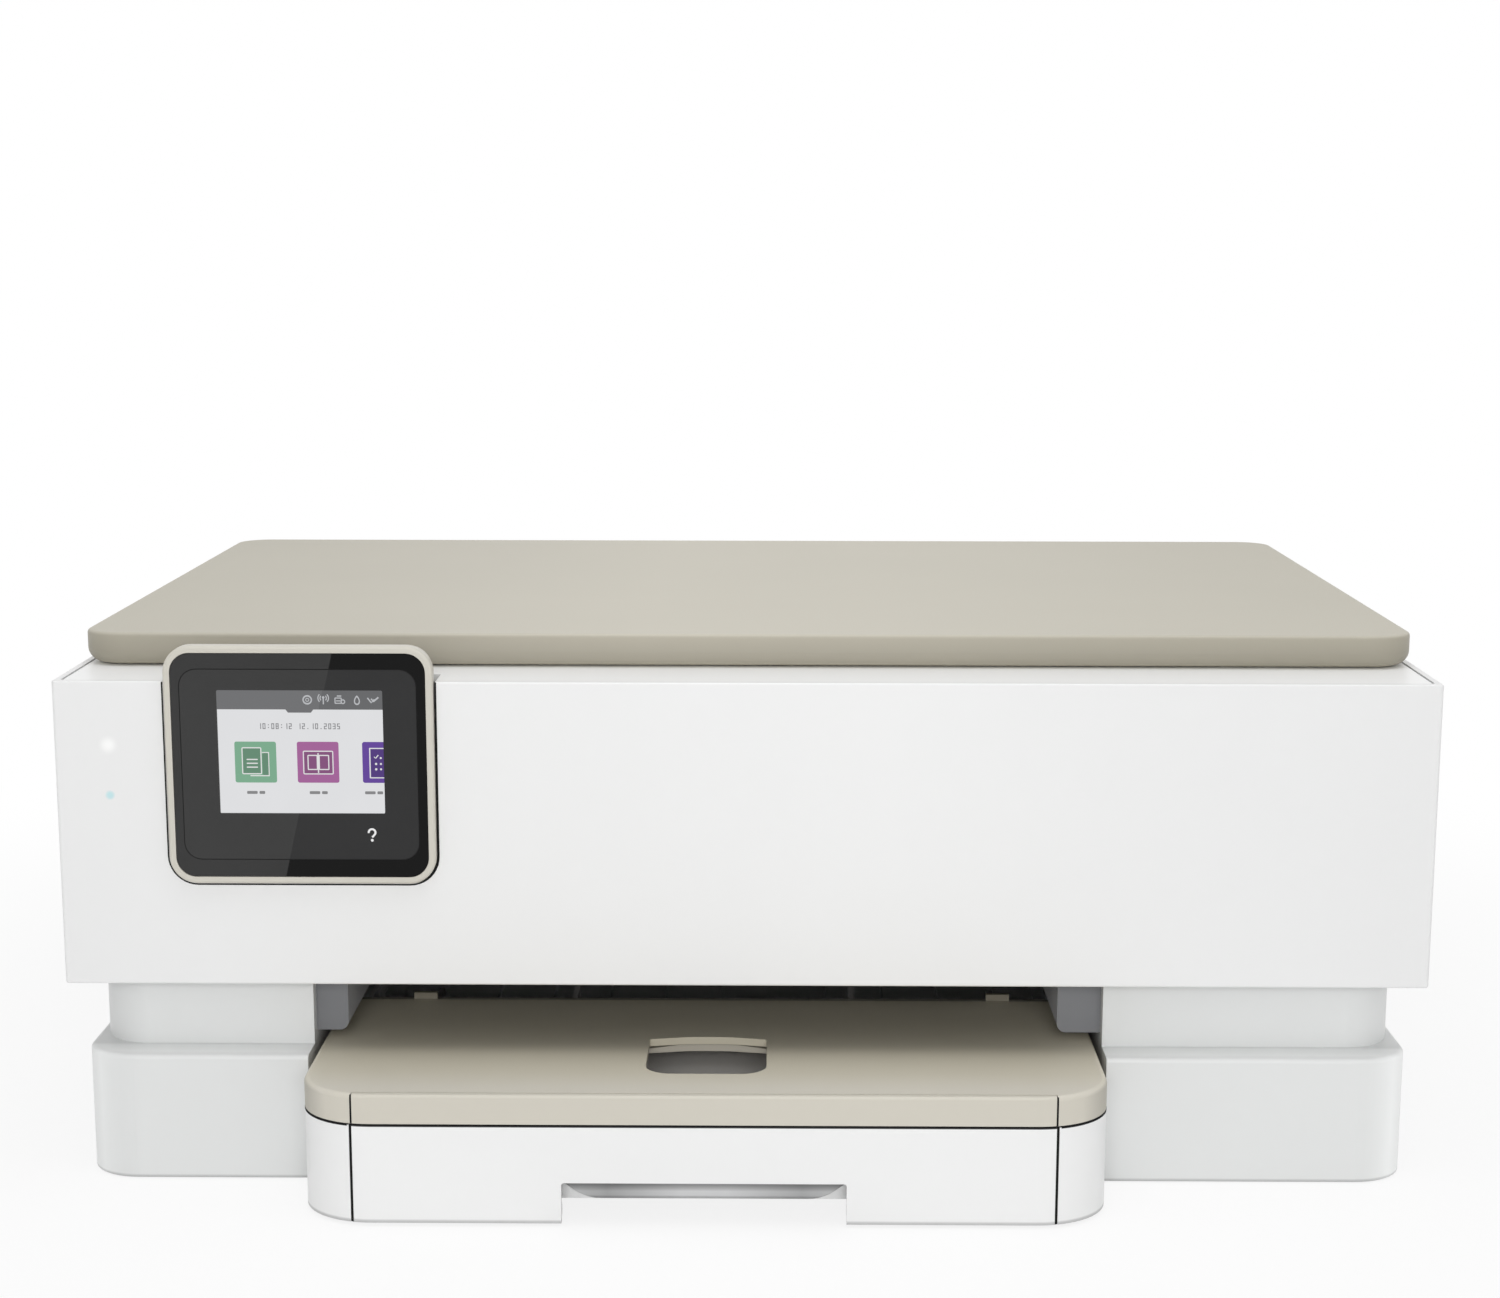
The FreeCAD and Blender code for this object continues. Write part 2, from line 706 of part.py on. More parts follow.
def make_carriage():
    left = carriage_park - carriage_width / 2
    right = carriage_park + carriage_width / 2
    body = block(left, right, carriage_front_y, carriage_rear_y, carriage_floor_z, carriage_top_z)
    tools = []
    adds = []
    for side in (-1, 1):
        x = bay_x(side)
        tools.append(block(x - bay_half, x + bay_half, carriage_front_y + 2.5, carriage_rear_y - 2.5,
                           carriage_floor_z + 2.5, carriage_top_z + 1.0))
        tools.append(block(x - nozzle_half - 3.0, x + nozzle_half + 3.0,
                           station_y - 12.0, station_y + 12.0,
                           carriage_floor_z - 1.0, carriage_floor_z + 3.0))
        for end in (-1, 1):
            lug_x = x + end * (bay_half - 0.8)
            lug = block(lug_x - 1.3, lug_x + 1.3, carriage_front_y - 4.5, carriage_front_y + 1.0,
                        latch_z - 3.0, latch_z + 3.0)
            adds.append(lug.cut(rod_x(lug_x - 2.0, lug_x + 2.0, latch_y, latch_z, 1.2 + running_gap)))
    hook_half = carriage_width / 2 - 9.0
    hook_left = carriage_park - hook_half
    hook_right = carriage_park + hook_half
    over_z = carriage_top_z + moving_gap
    lip_y = rail_y + rail_thickness + moving_gap
    clip_top_z = belt_z - pulley_radius - 0.1 - belt_thickness - moving_gap
    adds.append(block(hook_left, hook_right, carriage_rear_y - 1.0, rail_y - moving_gap,
                      carriage_top_z - 14.0, over_z + 4.0))
    adds.append(block(hook_left, hook_right, carriage_rear_y - 1.0, lip_y + 3.6, over_z, over_z + 4.0))
    adds.append(block(hook_left, hook_right, lip_y, lip_y + 3.6, clip_top_z - 3.0, over_z + 4.0))
    adds.append(block(carriage_park - 8.0, carriage_park + 8.0, lip_y, belt_y + 5.8,
                      clip_top_z - 3.0, clip_top_z))
    adds.append(block(carriage_park - 30.0, carriage_park + 30.0, beam_y - 1.0, carriage_front_y + 1.0,
                      beam_top_z + moving_gap, beam_top_z + 4.0))
    return body.cut(tools).fuse(adds).removeSplitter()


def make_cartridge(side):
    x = bay_x(side)
    floor = carriage_floor_z + 2.5
    half = cartridge_half
    low = block(x - half, x + half, carriage_front_y + 5.0, carriage_rear_y - 5.0, floor, floor + 32.0)
    high = block(x - half, x + half, carriage_front_y + 28.0, carriage_rear_y - 5.0,
                 floor + 31.0, floor + 46.0)
    nozzle = block(x - nozzle_half, x + nozzle_half, station_y - 9.0, station_y + 9.0, nozzle_z, floor + 1.0)
    grip = block(x - 0.7 * half, x + 0.7 * half, carriage_front_y + 27.0, carriage_front_y + 29.0,
                 floor + 34.0, floor + 44.0)
    return joined(low, high, nozzle).cut(grip)


def make_latch(side):
    x = bay_x(side)
    half = bay_half - 2.1 - moving_gap
    barrel = rod_x(x - half, x + half, latch_y, latch_z, 1.6)
    plate = block(x - half, x + half, latch_y - 1.6, latch_y + 1.6, latch_z, carriage_top_z + 5.0)
    hook = block(x - half + 4.0, x + half - 4.0, latch_y - 1.6, carriage_front_y + 9.0,
                 carriage_top_z + 2.0, carriage_top_z + 5.0)
    pins = rod_x(x - half - 2.6, x + half + 2.6, latch_y, latch_z, 1.2)
    return joined(barrel, plate, hook, pins)


# Pick arm.
pick_slope = math.radians(-14)
roller_y = pick_y + pick_length * math.cos(pick_slope)
roller_z = pick_z + pick_length * math.sin(pick_slope)


def make_pick_arm():
    hub = rod_x(mouth_centre - 16.0, mouth_centre + 16.0, pick_y, pick_z, 5.5)
    pieces = []
    nu = -math.sin(pick_slope) * 4.5
    nv = math.cos(pick_slope) * 4.5
    strip = plain([(pick_y - nu, pick_z - nv), (roller_y - nu, roller_z - nv),
                   (roller_y + nu, roller_z + nv), (pick_y + nu, pick_z + nv)])
    for x0 in (mouth_centre - 16.0, mouth_centre + 13.0):
        pieces.append(extrude(strip, "yz", x0, x0 + 3.0))
        pieces.append(rod_x(x0, x0 + 3.0, roller_y, roller_z, 4.5))
    share = 0.5
    web_y = pick_y + pick_length * share * math.cos(pick_slope)
    web_z = pick_z + pick_length * share * math.sin(pick_slope)
    pieces.append(rod_x(mouth_centre - 15.0, mouth_centre + 15.0, web_y, web_z, 3.0))
    arm = hub.fuse(pieces)
    holes = [rod_x(mouth_centre - 20.0, mouth_centre + 20.0, pick_y, pick_z, 3.0 + running_gap),
             rod_x(mouth_centre - 20.0, mouth_centre + 20.0, roller_y, roller_z, 2.0 + running_gap)]
    return arm.cut(holes).removeSplitter()


def make_pick_roller():
    tyre = rod_x(mouth_centre - 12.5, mouth_centre + 12.5, roller_y, roller_z, pick_roller_radius)
    axle = rod_x(mouth_centre - 16.0, mouth_centre + 16.0, roller_y, roller_z, 2.0)
    return joined(tyre, axle)


# Electrical pieces.
supply_rear_y = back_y - 18.0


def make_supply():
    case = block(-plate_half + 6.0, mouth_left - 8.0, supply_rear_y - supply_length, supply_rear_y,
                 pan_top_z, channel_top_z)
    slots = []
    pitch = (supply_length - 16.0) / 8
    for i in range(8):
        y = supply_rear_y - supply_length + 10.0 + i * pitch
        slots.append(block(-plate_half + 14.0, mouth_left - 16.0, y, y + 0.4 * pitch,
                           channel_top_z - 2.0, channel_top_z + 1.0))
    return case.cut(slots)


def make_inlet():
    body = block(inlet_x - 12.0, inlet_x + 12.0, supply_rear_y, back_y, inlet_low_z, inlet_top_z)
    cup = block(inlet_x - 4.3, inlet_x + 4.3, back_y - 12.0, back_y + 1.0, inlet_z - 4.2, inlet_z + 4.2)
    for side in (-1, 1):
        cup = cup.fuse(rod_y(back_y - 12.0, back_y + 1.0, inlet_x + side * 4.3, inlet_z, 4.2))
    body = body.cut(cup)
    pins = []
    for side in (-1, 1):
        pins.append(rod_y(back_y - 13.0, back_y - 2.0, inlet_x + side * 4.3, inlet_z, 1.2))
    return joined(body, *pins)


def make_board():
    rear = back_y - shell_wall - 0.6
    left = mouth_right + shell_wall + board_left_gap
    right = plate_half - board_right_gap
    front = rear - board_length
    board = block(left, right, front, rear, board_z, board_top_z)

    def spot(share):
        return left + share * (right - left)

    def depth(share):
        return front + share * board_length

    pieces = []
    for x in (left + 5.0, right - 5.0):
        for y in (front + 5.0, depth(0.77)):
            pieces.append(rod_z(pan_top_z, board_z, x, y, 3.0))
    pieces.append(block(spot(0.26), spot(0.66), depth(0.26), depth(0.49), board_top_z, board_top_z + 3.0))
    pieces.append(block(spot(0.77), spot(0.97), depth(0.21), depth(0.54), board_top_z, board_top_z + 8.0))
    pieces.append(block(spot(0.11), spot(0.20), depth(0.18), depth(0.67), board_top_z, board_top_z + 6.0))
    for share in (0.40, 0.60):
        pieces.append(rod_z(board_top_z, board_top_z + 12.0, spot(share), depth(0.62), 5.0))
    pieces.append(block(button_x - 5.0, button_x + 5.0, back_y - 16.0, back_y - 10.5,
                        board_top_z, button_z + 5.0))
    return joined(board, *pieces)


def make_socket():
    body = block(socket_x - 6.0, socket_x + 6.0, back_y - 17.0, back_y, board_top_z, board_top_z + 11.0)
    mouth = block(socket_x - 4.2, socket_x + 4.2, back_y - 12.0, back_y + 1.0,
                  board_top_z + 1.6, board_top_z + 9.4)
    tongue = block(socket_x - 2.8, socket_x + 2.8, back_y - 13.0, back_y - 3.0,
                   board_top_z + 4.0, board_top_z + 7.0)
    return joined(body.cut(mouth), tongue)


def make_button():
    cap = rod_y(back_y - 8.4, back_y, button_x, button_z, button_radius)
    flange = rod_y(back_y - 5.2, back_y - shell_wall - moving_gap, button_x, button_z,
                   button_radius + 1.8)
    return joined(cap, flange)


def make_rear_door():
    left = door_left + moving_gap
    right = door_right - moving_gap
    y = back_y - barrel_radius
    leaf = block(left, right, back_y - shell_wall, back_y, door_hinge_z, door_top_z)
    barrel = rod_x(left, right, y, door_hinge_z, barrel_radius)
    pins = rod_x(left - 3.6, right + 3.6, y, door_hinge_z, 1.2)
    grip = block(mouth_centre - 15.0, mouth_centre + 15.0, back_y - 1.2, back_y + 1.0,
                 door_top_z - 6.0, door_top_z + 1.0)
    return joined(leaf, barrel, pins).cut(grip)


# Paper guides at the output slot.
slot_guide_z = cover_top_z + 2.8


def make_output_guide(x0, x1, inner_low):
    radius = (3.0, 0) if inner_low == "left" else (0, 3.0)
    corners = [(x0, slot_guide_z, radius[0]), (x1, slot_guide_z, radius[1]),
               (x1, waist_top_z, 0), (x0, waist_top_z, 0)]
    return extrude(corners, "xz", front_y + guide_front, front_y + guide_reach)


# Upper unit.
control_hinge_y = control_front_y + control_depth - 1.0
recess_left = control_left - seam_gap
recess_right = control_right + seam_gap
recess_bottom = control_bottom - seam_gap
recess_rear_y = front_y + 16.5
light_x = light_inset - half_width
light_high_z = panel_top_z - light_high_drop
light_low_z = panel_top_z - light_low_drop
top_under_z = panel_top_z - top_plate
top_half = half_width - shell_wall - 1.0
window_margin = 5.0
glass_front_y = front_y + glass_setback
hinge_reach = half_width - lid_hinge_inset
lid_axis_y = lid_back_y - 3.5
lid_axis_z = lid_bottom_z + lid_thickness / 2


def recess_outline(grow, top):
    radius = control_corner + grow
    return [(control_left - grow, control_bottom - grow, radius),
            (control_right + grow, control_bottom - grow, radius),
            (control_right + grow, top, 0), (control_left - grow, top, 0)]


def make_upper_shell():
    outer = rounded_box(-half_width, half_width, front_y, back_y, panel_bottom_z, panel_top_z, 1.2, 8.0)
    outer = round_level(outer, panel_bottom_z, 0.8)
    outer = round_level(outer, panel_top_z, 0.6)
    room = rounded_box(-half_width + shell_wall, half_width - shell_wall, front_y + panel_wall,
                       back_y - shell_wall, panel_bottom_z - 1.0, panel_top_z + 1.0, 0.4, 5.5)
    shell = outer.cut(room)
    rear_cut = block(-half_width - 1.0, half_width + 1.0, back_y - 12.0, back_y + 1.0,
                     panel_bottom_z - 1.0, hinge_z - 6.0)
    notch = extrude(recess_outline(seam_gap, panel_top_z + 1.0), "xz", front_y - 1.0,
                    front_y + panel_wall + 1.0)
    tools = [rear_cut, notch]
    for z in (light_high_z, light_low_z):
        tools.append(rod_y(front_y - 1.0, front_y + panel_wall + 1.0, light_x, z, light_radius))
    shell = shell.cut(tools)
    ledges = []
    for x0 in (-half_width + shell_wall - 1.0, half_width - shell_wall - 2.0):
        ledges.append(block(x0, x0 + 3.0, front_y + 50.0, back_y - 50.0, top_under_z - 3.0, top_under_z))
    return shell.fuse(ledges).removeSplitter()


def make_scanner_top():
    plate = rounded_box(-top_half, top_half, front_y + panel_wall, back_y - shell_wall - 0.5,
                        top_under_z, panel_top_z, 0.4, 5.0)
    notch = block(recess_left, recess_right, front_y, recess_rear_y, top_under_z - 1.0, panel_top_z + 1.0)
    window = rounded_box(-glass_width / 2 + window_margin, glass_width / 2 - window_margin,
                         glass_front_y + window_margin, glass_front_y + glass_depth - window_margin,
                         top_under_z - 1.0, panel_top_z + 1.0, 3.0, 3.0)
    return plate.cut([notch, window])


def make_glass():
    return block(-glass_width / 2, glass_width / 2, glass_front_y, glass_front_y + glass_depth,
                 top_under_z - 2.8, top_under_z)


def make_tub():
    outer = block(-tub_half, tub_half, tub_front_y, tub_back_y, tub_bottom_z, top_under_z)
    room = block(-tub_half + 2.5, tub_half - 2.5, tub_front_y + 2.5, tub_back_y - 2.5,
                 tub_bottom_z + 2.5, top_under_z + 1.0)
    tub = outer.cut(room)
    arms = []
    inner = plate_half + plate_thickness + 1.0
    for side in (-1, 1):
        low = min(side * inner, side * (inner + 3.5))
        outline = plain([(hinge_y - 7.0, hinge_z), (hinge_y + 7.0, hinge_z),
                         (tub_back_y, tub_bottom_z + 1.0), (tub_back_y - 40.0, tub_bottom_z + 1.0)])
        arm = extrude(outline, "yz", low, low + 3.5)
        arm = arm.fuse(rod_x(low, low + 3.5, hinge_y, hinge_z, 7.0))
        arms.append(arm.cut(rod_x(low - 1.0, low + 4.5, hinge_y, hinge_z, 4.0 + running_gap)))
    for x in (-glass_width / 2 - 4.0, glass_width / 2 + 1.0):
        arms.append(block(x, x + 3.0, tub_front_y + 1.0, tub_front_y + 20.0, tub_bottom_z + 1.0, top_under_z))
    return tub.fuse(arms).removeSplitter()


rod_mid_y = (tub_front_y + tub_back_y) / 2
rod_mid_z = tub_bottom_z + 11.0
scan_home = -tub_half + 30.0
scan_travel = 2 * tub_half - scan_end_room


def make_scan_rod():
    return rod_x(-tub_half + 2.5, tub_half - 2.5, rod_mid_y, rod_mid_z, 3.0)


def make_scan_carriage():
    low_x = scan_home - scan_width / 2
    high_x = scan_home + scan_width / 2
    bar = block(low_x, high_x, tub_front_y + 24.0, tub_back_y - 8.0, rod_mid_z + 6.0, top_under_z - 4.5)
    hub = block(low_x, high_x, rod_mid_y - 9.0, rod_mid_y + 9.0, rod_mid_z - 6.0, rod_mid_z + 7.0)
    lens = block(scan_home - 4.0, scan_home + 4.0, tub_front_y + 30.0, tub_back_y - 14.0,
                 top_under_z - 6.0, top_under_z - 4.0)
    bore = rod_x(low_x - 1.0, high_x + 1.0, rod_mid_y, rod_mid_z, 3.0 + running_gap)
    return joined(bar, hub).cut(lens).cut(bore)


def make_cradle():
    wall = 2.5
    outer = block(recess_left - wall, recess_right + wall, front_y + panel_wall, recess_rear_y + wall,
                  recess_bottom - wall, top_under_z)
    room = block(recess_left, recess_right, front_y, recess_rear_y, recess_bottom, top_under_z + 1.0)
    pins = rod_x(recess_left - wall, recess_right + wall, control_hinge_y, control_hinge_z,
                 2.0 + running_gap)
    return outer.cut([room, pins])


def make_lights():
    lights = []
    for z in (light_high_z, light_low_z):
        lens = rod_y(front_y + 0.05, front_y + panel_wall, light_x, z, light_radius)
        back = rod_y(front_y + panel_wall, front_y + panel_wall + 3.0, light_x, z, light_radius + 1.2)
        lights.append(joined(lens, back))
    return lights


def make_lid_hinges():
    brackets = []
    for side in (-1, 1):
        x = side * hinge_reach
        post = block(x - 12.0, x + 12.0, lid_axis_y - 3.0, lid_axis_y + 3.0, panel_top_z, lid_axis_z)
        knuckle = rod_x(x - 12.0, x + 12.0, lid_axis_y, lid_axis_z, 3.0)
        pin = rod_x(x - 16.0, x + 16.0, lid_axis_y, lid_axis_z, 1.5)
        brackets.append(joined(post, knuckle, pin))
    return brackets


lid_rim = 14.0
lid_pocket = 6.5


def make_lid():
    half = lid_width / 2
    plate = rounded_box(-half, half, lid_front_y, lid_back_y, lid_bottom_z, lid_bottom_z + lid_thickness,
                        lid_corner, lid_corner)
    plate = round_level(plate, lid_bottom_z, lid_under_round)
    plate = round_level(plate, lid_bottom_z + lid_thickness, 1.3)
    pocket = rounded_box(-half + lid_rim, half - lid_rim, lid_front_y + lid_rim, lid_back_y - lid_rim,
                         lid_bottom_z - 1.0, lid_bottom_z + lid_pocket, 6.0, 6.0)
    tools = [pocket]
    for side in (-1, 1):
        x = side * hinge_reach
        tools.append(block(x - 12.4, x + 12.4, lid_axis_y - 4.2, lid_back_y + 1.0,
                           lid_bottom_z - 1.0, lid_bottom_z + lid_thickness - lid_skin))
        tools.append(rod_x(x - 16.5, x + 16.5, lid_axis_y, lid_axis_z, 1.5 + running_gap))
    return plate.cut(tools)


def make_lid_pad():
    half = lid_width / 2 - lid_rim - 0.8
    return rounded_box(-half, half, lid_front_y + lid_rim + 0.8, lid_back_y - lid_rim - 0.8,
                       lid_bottom_z + 0.3, lid_bottom_z + lid_pocket, 5.0, 5.0)


# Control panel.
glass_recess = 1.6


def control_outline(inset, radius):
    return rounded_rect(control_left + inset, control_right - inset,
                        control_bottom + inset, control_top - inset, radius, radius)


def make_control_bezel():
    rear = control_front_y + control_depth
    body = extrude(control_outline(0.0, control_corner), "xz", control_front_y,
                   control_front_y + control_rim_depth)
    face = [edge for edge in body.Edges
            if abs(edge.BoundBox.YMin - control_front_y) < 0.01
            and abs(edge.BoundBox.YMax - control_front_y) < 0.01]
    body = body.makeFillet(0.9, face)
    neck = extrude(control_outline(control_neck_inset, control_corner - control_neck_inset), "xz",
                   control_front_y + control_rim_depth - 1.0, rear)
    body = joined(body, neck)
    pocket = extrude(control_outline(control_border, control_pocket_corner), "xz",
                     control_front_y - 1.0, control_front_y + glass_recess)
    room = extrude(control_outline(control_border + 3.0, control_pocket_corner - 3.0), "xz",
                   control_front_y, rear - 2.5)
    pins = rod_x(control_left - 2.6, control_right + 2.6, control_hinge_y - 0.0, control_hinge_z, 2.0)
    hollow = body.cut([pocket, room])
    back_rib = block(control_left + 2.0, control_right - 2.0, rear - 5.0, rear,
                     control_hinge_z - 3.5, control_hinge_z + 3.5)
    return joined(hollow, back_rib, pins)


def make_control_glass():
    slab = extrude(control_outline(control_border + seat_gap, control_pocket_corner - seat_gap), "xz",
                   control_front_y + 0.2, control_front_y + glass_recess)
    hole = block(screen_left, screen_left + screen_width, control_front_y - 1.0,
                 control_front_y + glass_recess + 1.0, screen_bottom, screen_bottom + screen_height)
    return slab.cut(hole)


def make_screen():
    gap = 0.1
    front = block(screen_left + gap, screen_left + screen_width - gap, control_front_y + 0.25,
                  control_front_y + glass_recess, screen_bottom + gap, screen_bottom + screen_height - gap)
    back = block(screen_left - 3.0, screen_left + screen_width + 3.0, control_front_y + glass_recess,
                 control_front_y + glass_recess + 3.0, screen_bottom - 4.0,
                 screen_bottom + screen_height + 3.0)
    return joined(front, back)


# Paper tray.
def tray_prism(z0, z1, rear_y, inset):
    return rounded_box(tray_left + inset, tray_right - inset, tray_front_y + inset, rear_y - inset,
                       z0, z1, tray_corner - inset, 3.0)


flap_half = flap_width / 2
flap_axis_y = tray_front_y + flap_thickness
floor_start_y = tray_front_y + 8.6
pull_half = notch_width / 2 + 4.0
pull_rear_y = tray_front_y + 21.0
channel_half = 16.0
ledge_top_z = photo_bottom_z - moving_gap


def pull_profile(grow):
    top = rib_top_z + 2.0
    low = tray_floor_z - 0.75 - grow
    wide = notch_width / 2 + 0.5 + grow
    slim = wide - 8.0
    return [(mouth_centre - slim, low, 16.0), (mouth_centre + slim, low, 16.0),
            (mouth_centre + wide, top, 0), (mouth_centre - wide, top, 0)]


def pull_webs():
    lip_room = extrude(pull_profile(seat_gap / 2), "xz", floor_start_y, floor_start_y + 5.0)
    webs = []
    for side in (-1, 1):
        ends = sorted((mouth_centre + side * (pull_half + 1.5),
                       mouth_centre + side * (notch_width / 2 - 22.0)))
        web = block(ends[0], ends[1], floor_start_y + 0.6, floor_start_y + 1.8,
                    tray_floor_z - 0.75, rib_top_z + 1.8)
        webs.append(web.cut(lip_room))
    return webs


def make_tray():
    seam = tray_seam_z - seam_gap / 2
    tub = tray_prism(tray_bottom_z, seam, tray_rear_y, 0.0)
    room = tray_prism(tray_floor_z, seam + 1.0, tray_rear_y, tray_wall)
    tub = tub.cut(room)
    skirt = tray_prism(tray_skirt_z, tray_bottom_z + 0.5, tray_rear_y, 0.0)
    skirt = skirt.cut(tray_prism(tray_skirt_z - 1.0, tray_bottom_z, tray_rear_y, tray_wall))
    skirt = skirt.common(block(tray_left - 1.0, tray_right + 1.0, tray_front_y - 1.0, front_y - 2.0,
                               0.0, seam))
    adds = [skirt]
    ribs = 11
    for i in range(ribs):
        x = tray_left + 18.0 + i * (tray_width - 36.0) / (ribs - 1)
        rib = block(x - 1.5, x + 1.5, floor_start_y + 16.0, tray_rear_y - tray_wall + 0.5,
                    tray_floor_z - 0.5, rib_top_z)
        adds.append(rib.cut(block(x - 3.0, x + 3.0, rack_y - channel_half, rack_y + channel_half,
                                  tray_floor_z, rib_top_z + 1.0)))
    ledge_reach = tray_wall + 3.0
    for x0, x1 in ((tray_left + 1.0, tray_left + ledge_reach), (tray_right - ledge_reach, tray_right - 1.0)):
        adds.append(block(x0, x1, floor_start_y + ledge_start, tray_front_y + photo_depth + ledge_extra,
                          ledge_top_z - 2.0, ledge_top_z))
    adds.append(rod_z(tray_floor_z - 0.5, tray_floor_z + 3.0, mouth_centre, rack_y, 2.5))
    for side in (-1, 1):
        low = mouth_centre + side * (flap_half + seam_gap)
        high = low + side * 6.0
        cheek = block(min(low, high), max(low, high), tray_front_y, flap_axis_y + 4.0,
                      tray_skirt_z, flap_hinge_z + 4.5)
        adds.append(cheek.common(tray_prism(tray_skirt_z, seam, tray_rear_y, 0.0)))
    tub = tub.fuse(adds)
    gap_half = flap_half + seam_gap
    tools = [block(mouth_centre - gap_half, mouth_centre + gap_half, tray_front_y - 1.0, floor_start_y,
                   0.0, seam + 1.0),
             block(mouth_centre - pull_half, mouth_centre + pull_half, tray_front_y - 1.0, pull_rear_y,
                   0.0, tray_floor_z),
             rod_x(mouth_centre - gap_half - 1.9, mouth_centre + gap_half + 1.9, flap_axis_y,
                   flap_hinge_z, 1.0 + running_gap),
             block(tray_left + 12.0, tray_right - 12.0, tray_rear_y - tray_wall - 0.5, tray_rear_y + 1.0,
                   rib_top_z + 1.0, seam + 1.0)]
    return tub.cut(tools).fuse(pull_webs()).removeSplitter()


def make_flap():
    seam = tray_seam_z - seam_gap / 2
    leaf = tray_prism(tray_skirt_z, seam, tray_rear_y, 0.0)
    leaf = leaf.common(block(mouth_centre - flap_half, mouth_centre + flap_half, tray_front_y - 1.0,
                             flap_axis_y, 0.0, seam + 1.0))
    barrel = rod_x(mouth_centre - flap_half, mouth_centre + flap_half, flap_axis_y, flap_hinge_z, 2.2)
    pin_reach = flap_half + seam_gap + 1.6
    pins = rod_x(mouth_centre - pin_reach, mouth_centre + pin_reach, flap_axis_y, flap_hinge_z, 1.0)
    half = notch_width / 2
    notch = extrude([(mouth_centre - half, -1.0, 0), (mouth_centre + half, -1.0, 0),
                     (mouth_centre + half, notch_top_z, 1.0), (mouth_centre - half, notch_top_z, 1.0)],
                    "xz", tray_front_y - 1.0, flap_axis_y + 4.0)
    return joined(leaf, barrel, pins).cut(notch)


def make_pull():
    lip = extrude(pull_profile(0.0), "xz", floor_start_y + 0.6, floor_start_y + 4.0)
    shelf = block(mouth_centre - pull_half, mouth_centre + pull_half, floor_start_y + 2.0, pull_rear_y,
                  tray_floor_z - 0.9, tray_floor_z)
    return joined(lip, shelf)


extender_half = flap_half - 0.5
plate_reach = extender_half - deck_inset
extender_top_z = cover_under_z - moving_gap
extender_low_z = extender_top_z - 2.5


def finger_cut(grow, z0, z1):
    half = finger_width / 2 + grow
    near = tray_front_y + finger_setback - grow
    far = tray_front_y + finger_setback + finger_length + grow
    rise = half / 3
    corners = [(mouth_centre - half, near, 9.0), (mouth_centre + half, near, 9.0),
               (mouth_centre + half, far, 1.0), (mouth_centre + rise, far + finger_arch, 30.0),
               (mouth_centre - rise, far + finger_arch, 30.0), (mouth_centre - half, far, 1.0)]
    return extrude(corners, "xy", z0, z1)


def make_cover():
    low = tray_seam_z + seam_gap / 2
    body = tray_prism(low, cover_top_z, cover_rear_y, 0.0)
    body = round_level(body, cover_top_z, 1.8)
    room = tray_prism(low - 1.0, cover_under_z, cover_rear_y + 10.0, tray_wall)
    shell = body.cut(room)
    adds = []
    for side in (-1, 1):
        tab_x = mouth_centre + side * (tray_width / 2 - tab_inset)
        adds.append(block(tab_x - 4.2, tab_x + 4.2, cover_rear_y - 3.2, cover_rear_y - 1.2,
                          cover_under_z + 0.5, cover_top_z + 2.3))
    for side in (-1, 1):
        web = sorted((mouth_centre + side * (plate_reach + moving_gap),
                      mouth_centre + side * (plate_reach + moving_gap + 2.0)))
        foot = sorted((mouth_centre + side * (plate_reach - 4.0),
                       mouth_centre + side * (plate_reach + moving_gap + 2.0)))
        rail_low = extender_low_z - moving_gap
        adds.append(block(web[0], web[1], tray_front_y + 8.0, cover_rear_y - 4.0,
                          rail_low, cover_under_z + 0.5))
        adds.append(block(foot[0], foot[1], tray_front_y + 8.0, cover_rear_y - 4.0, rail_low - 2.0, rail_low))
    shell = shell.fuse(adds)
    gap_half = extender_half + seam_gap / 2
    tools = [block(mouth_centre - gap_half, mouth_centre + gap_half, tray_front_y - 1.0,
                   tray_front_y + tray_wall + 0.4, low - 1.0, cover_top_z + 1.0),
             finger_cut(0.0, cover_under_z - 1.0, cover_top_z + 1.0)]
    return shell.cut(tools).removeSplitter()


def make_extender():
    low = tray_seam_z + seam_gap / 2 + 0.05
    lip = tray_prism(low, cover_top_z - 0.1, cover_rear_y, 0.0)
    lip = round_level(lip, cover_top_z - 0.1, 0.9)
    lip = lip.common(block(mouth_centre - extender_half, mouth_centre + extender_half,
                           tray_front_y - 1.0, tray_front_y + tray_wall, low - 1.0, cover_top_z + 1.0))
    deck = block(mouth_centre - plate_reach, mouth_centre + plate_reach, tray_front_y + tray_wall - 1.0,
                 tray_front_y + extender_length, extender_low_z, extender_top_z)
    far = tray_front_y + finger_setback + finger_length
    crest = finger_width / 2 + 1.2
    top = extender_top_z + 0.1
    dip = extender_top_z - 0.95
    tools = [finger_cut(1.0, extender_low_z - 1.0, top)]
    for slope in ([(-crest, dip), (-8.0, top), (-crest, top)], [(8.0, top), (crest, dip), (crest, top)]):
        tools.append(extrude([(mouth_centre + u, z, 0) for u, z in slope], "xz", far - 2.0,
                             far + finger_arch + 6.0))
    return joined(lip, deck).cut(tools)


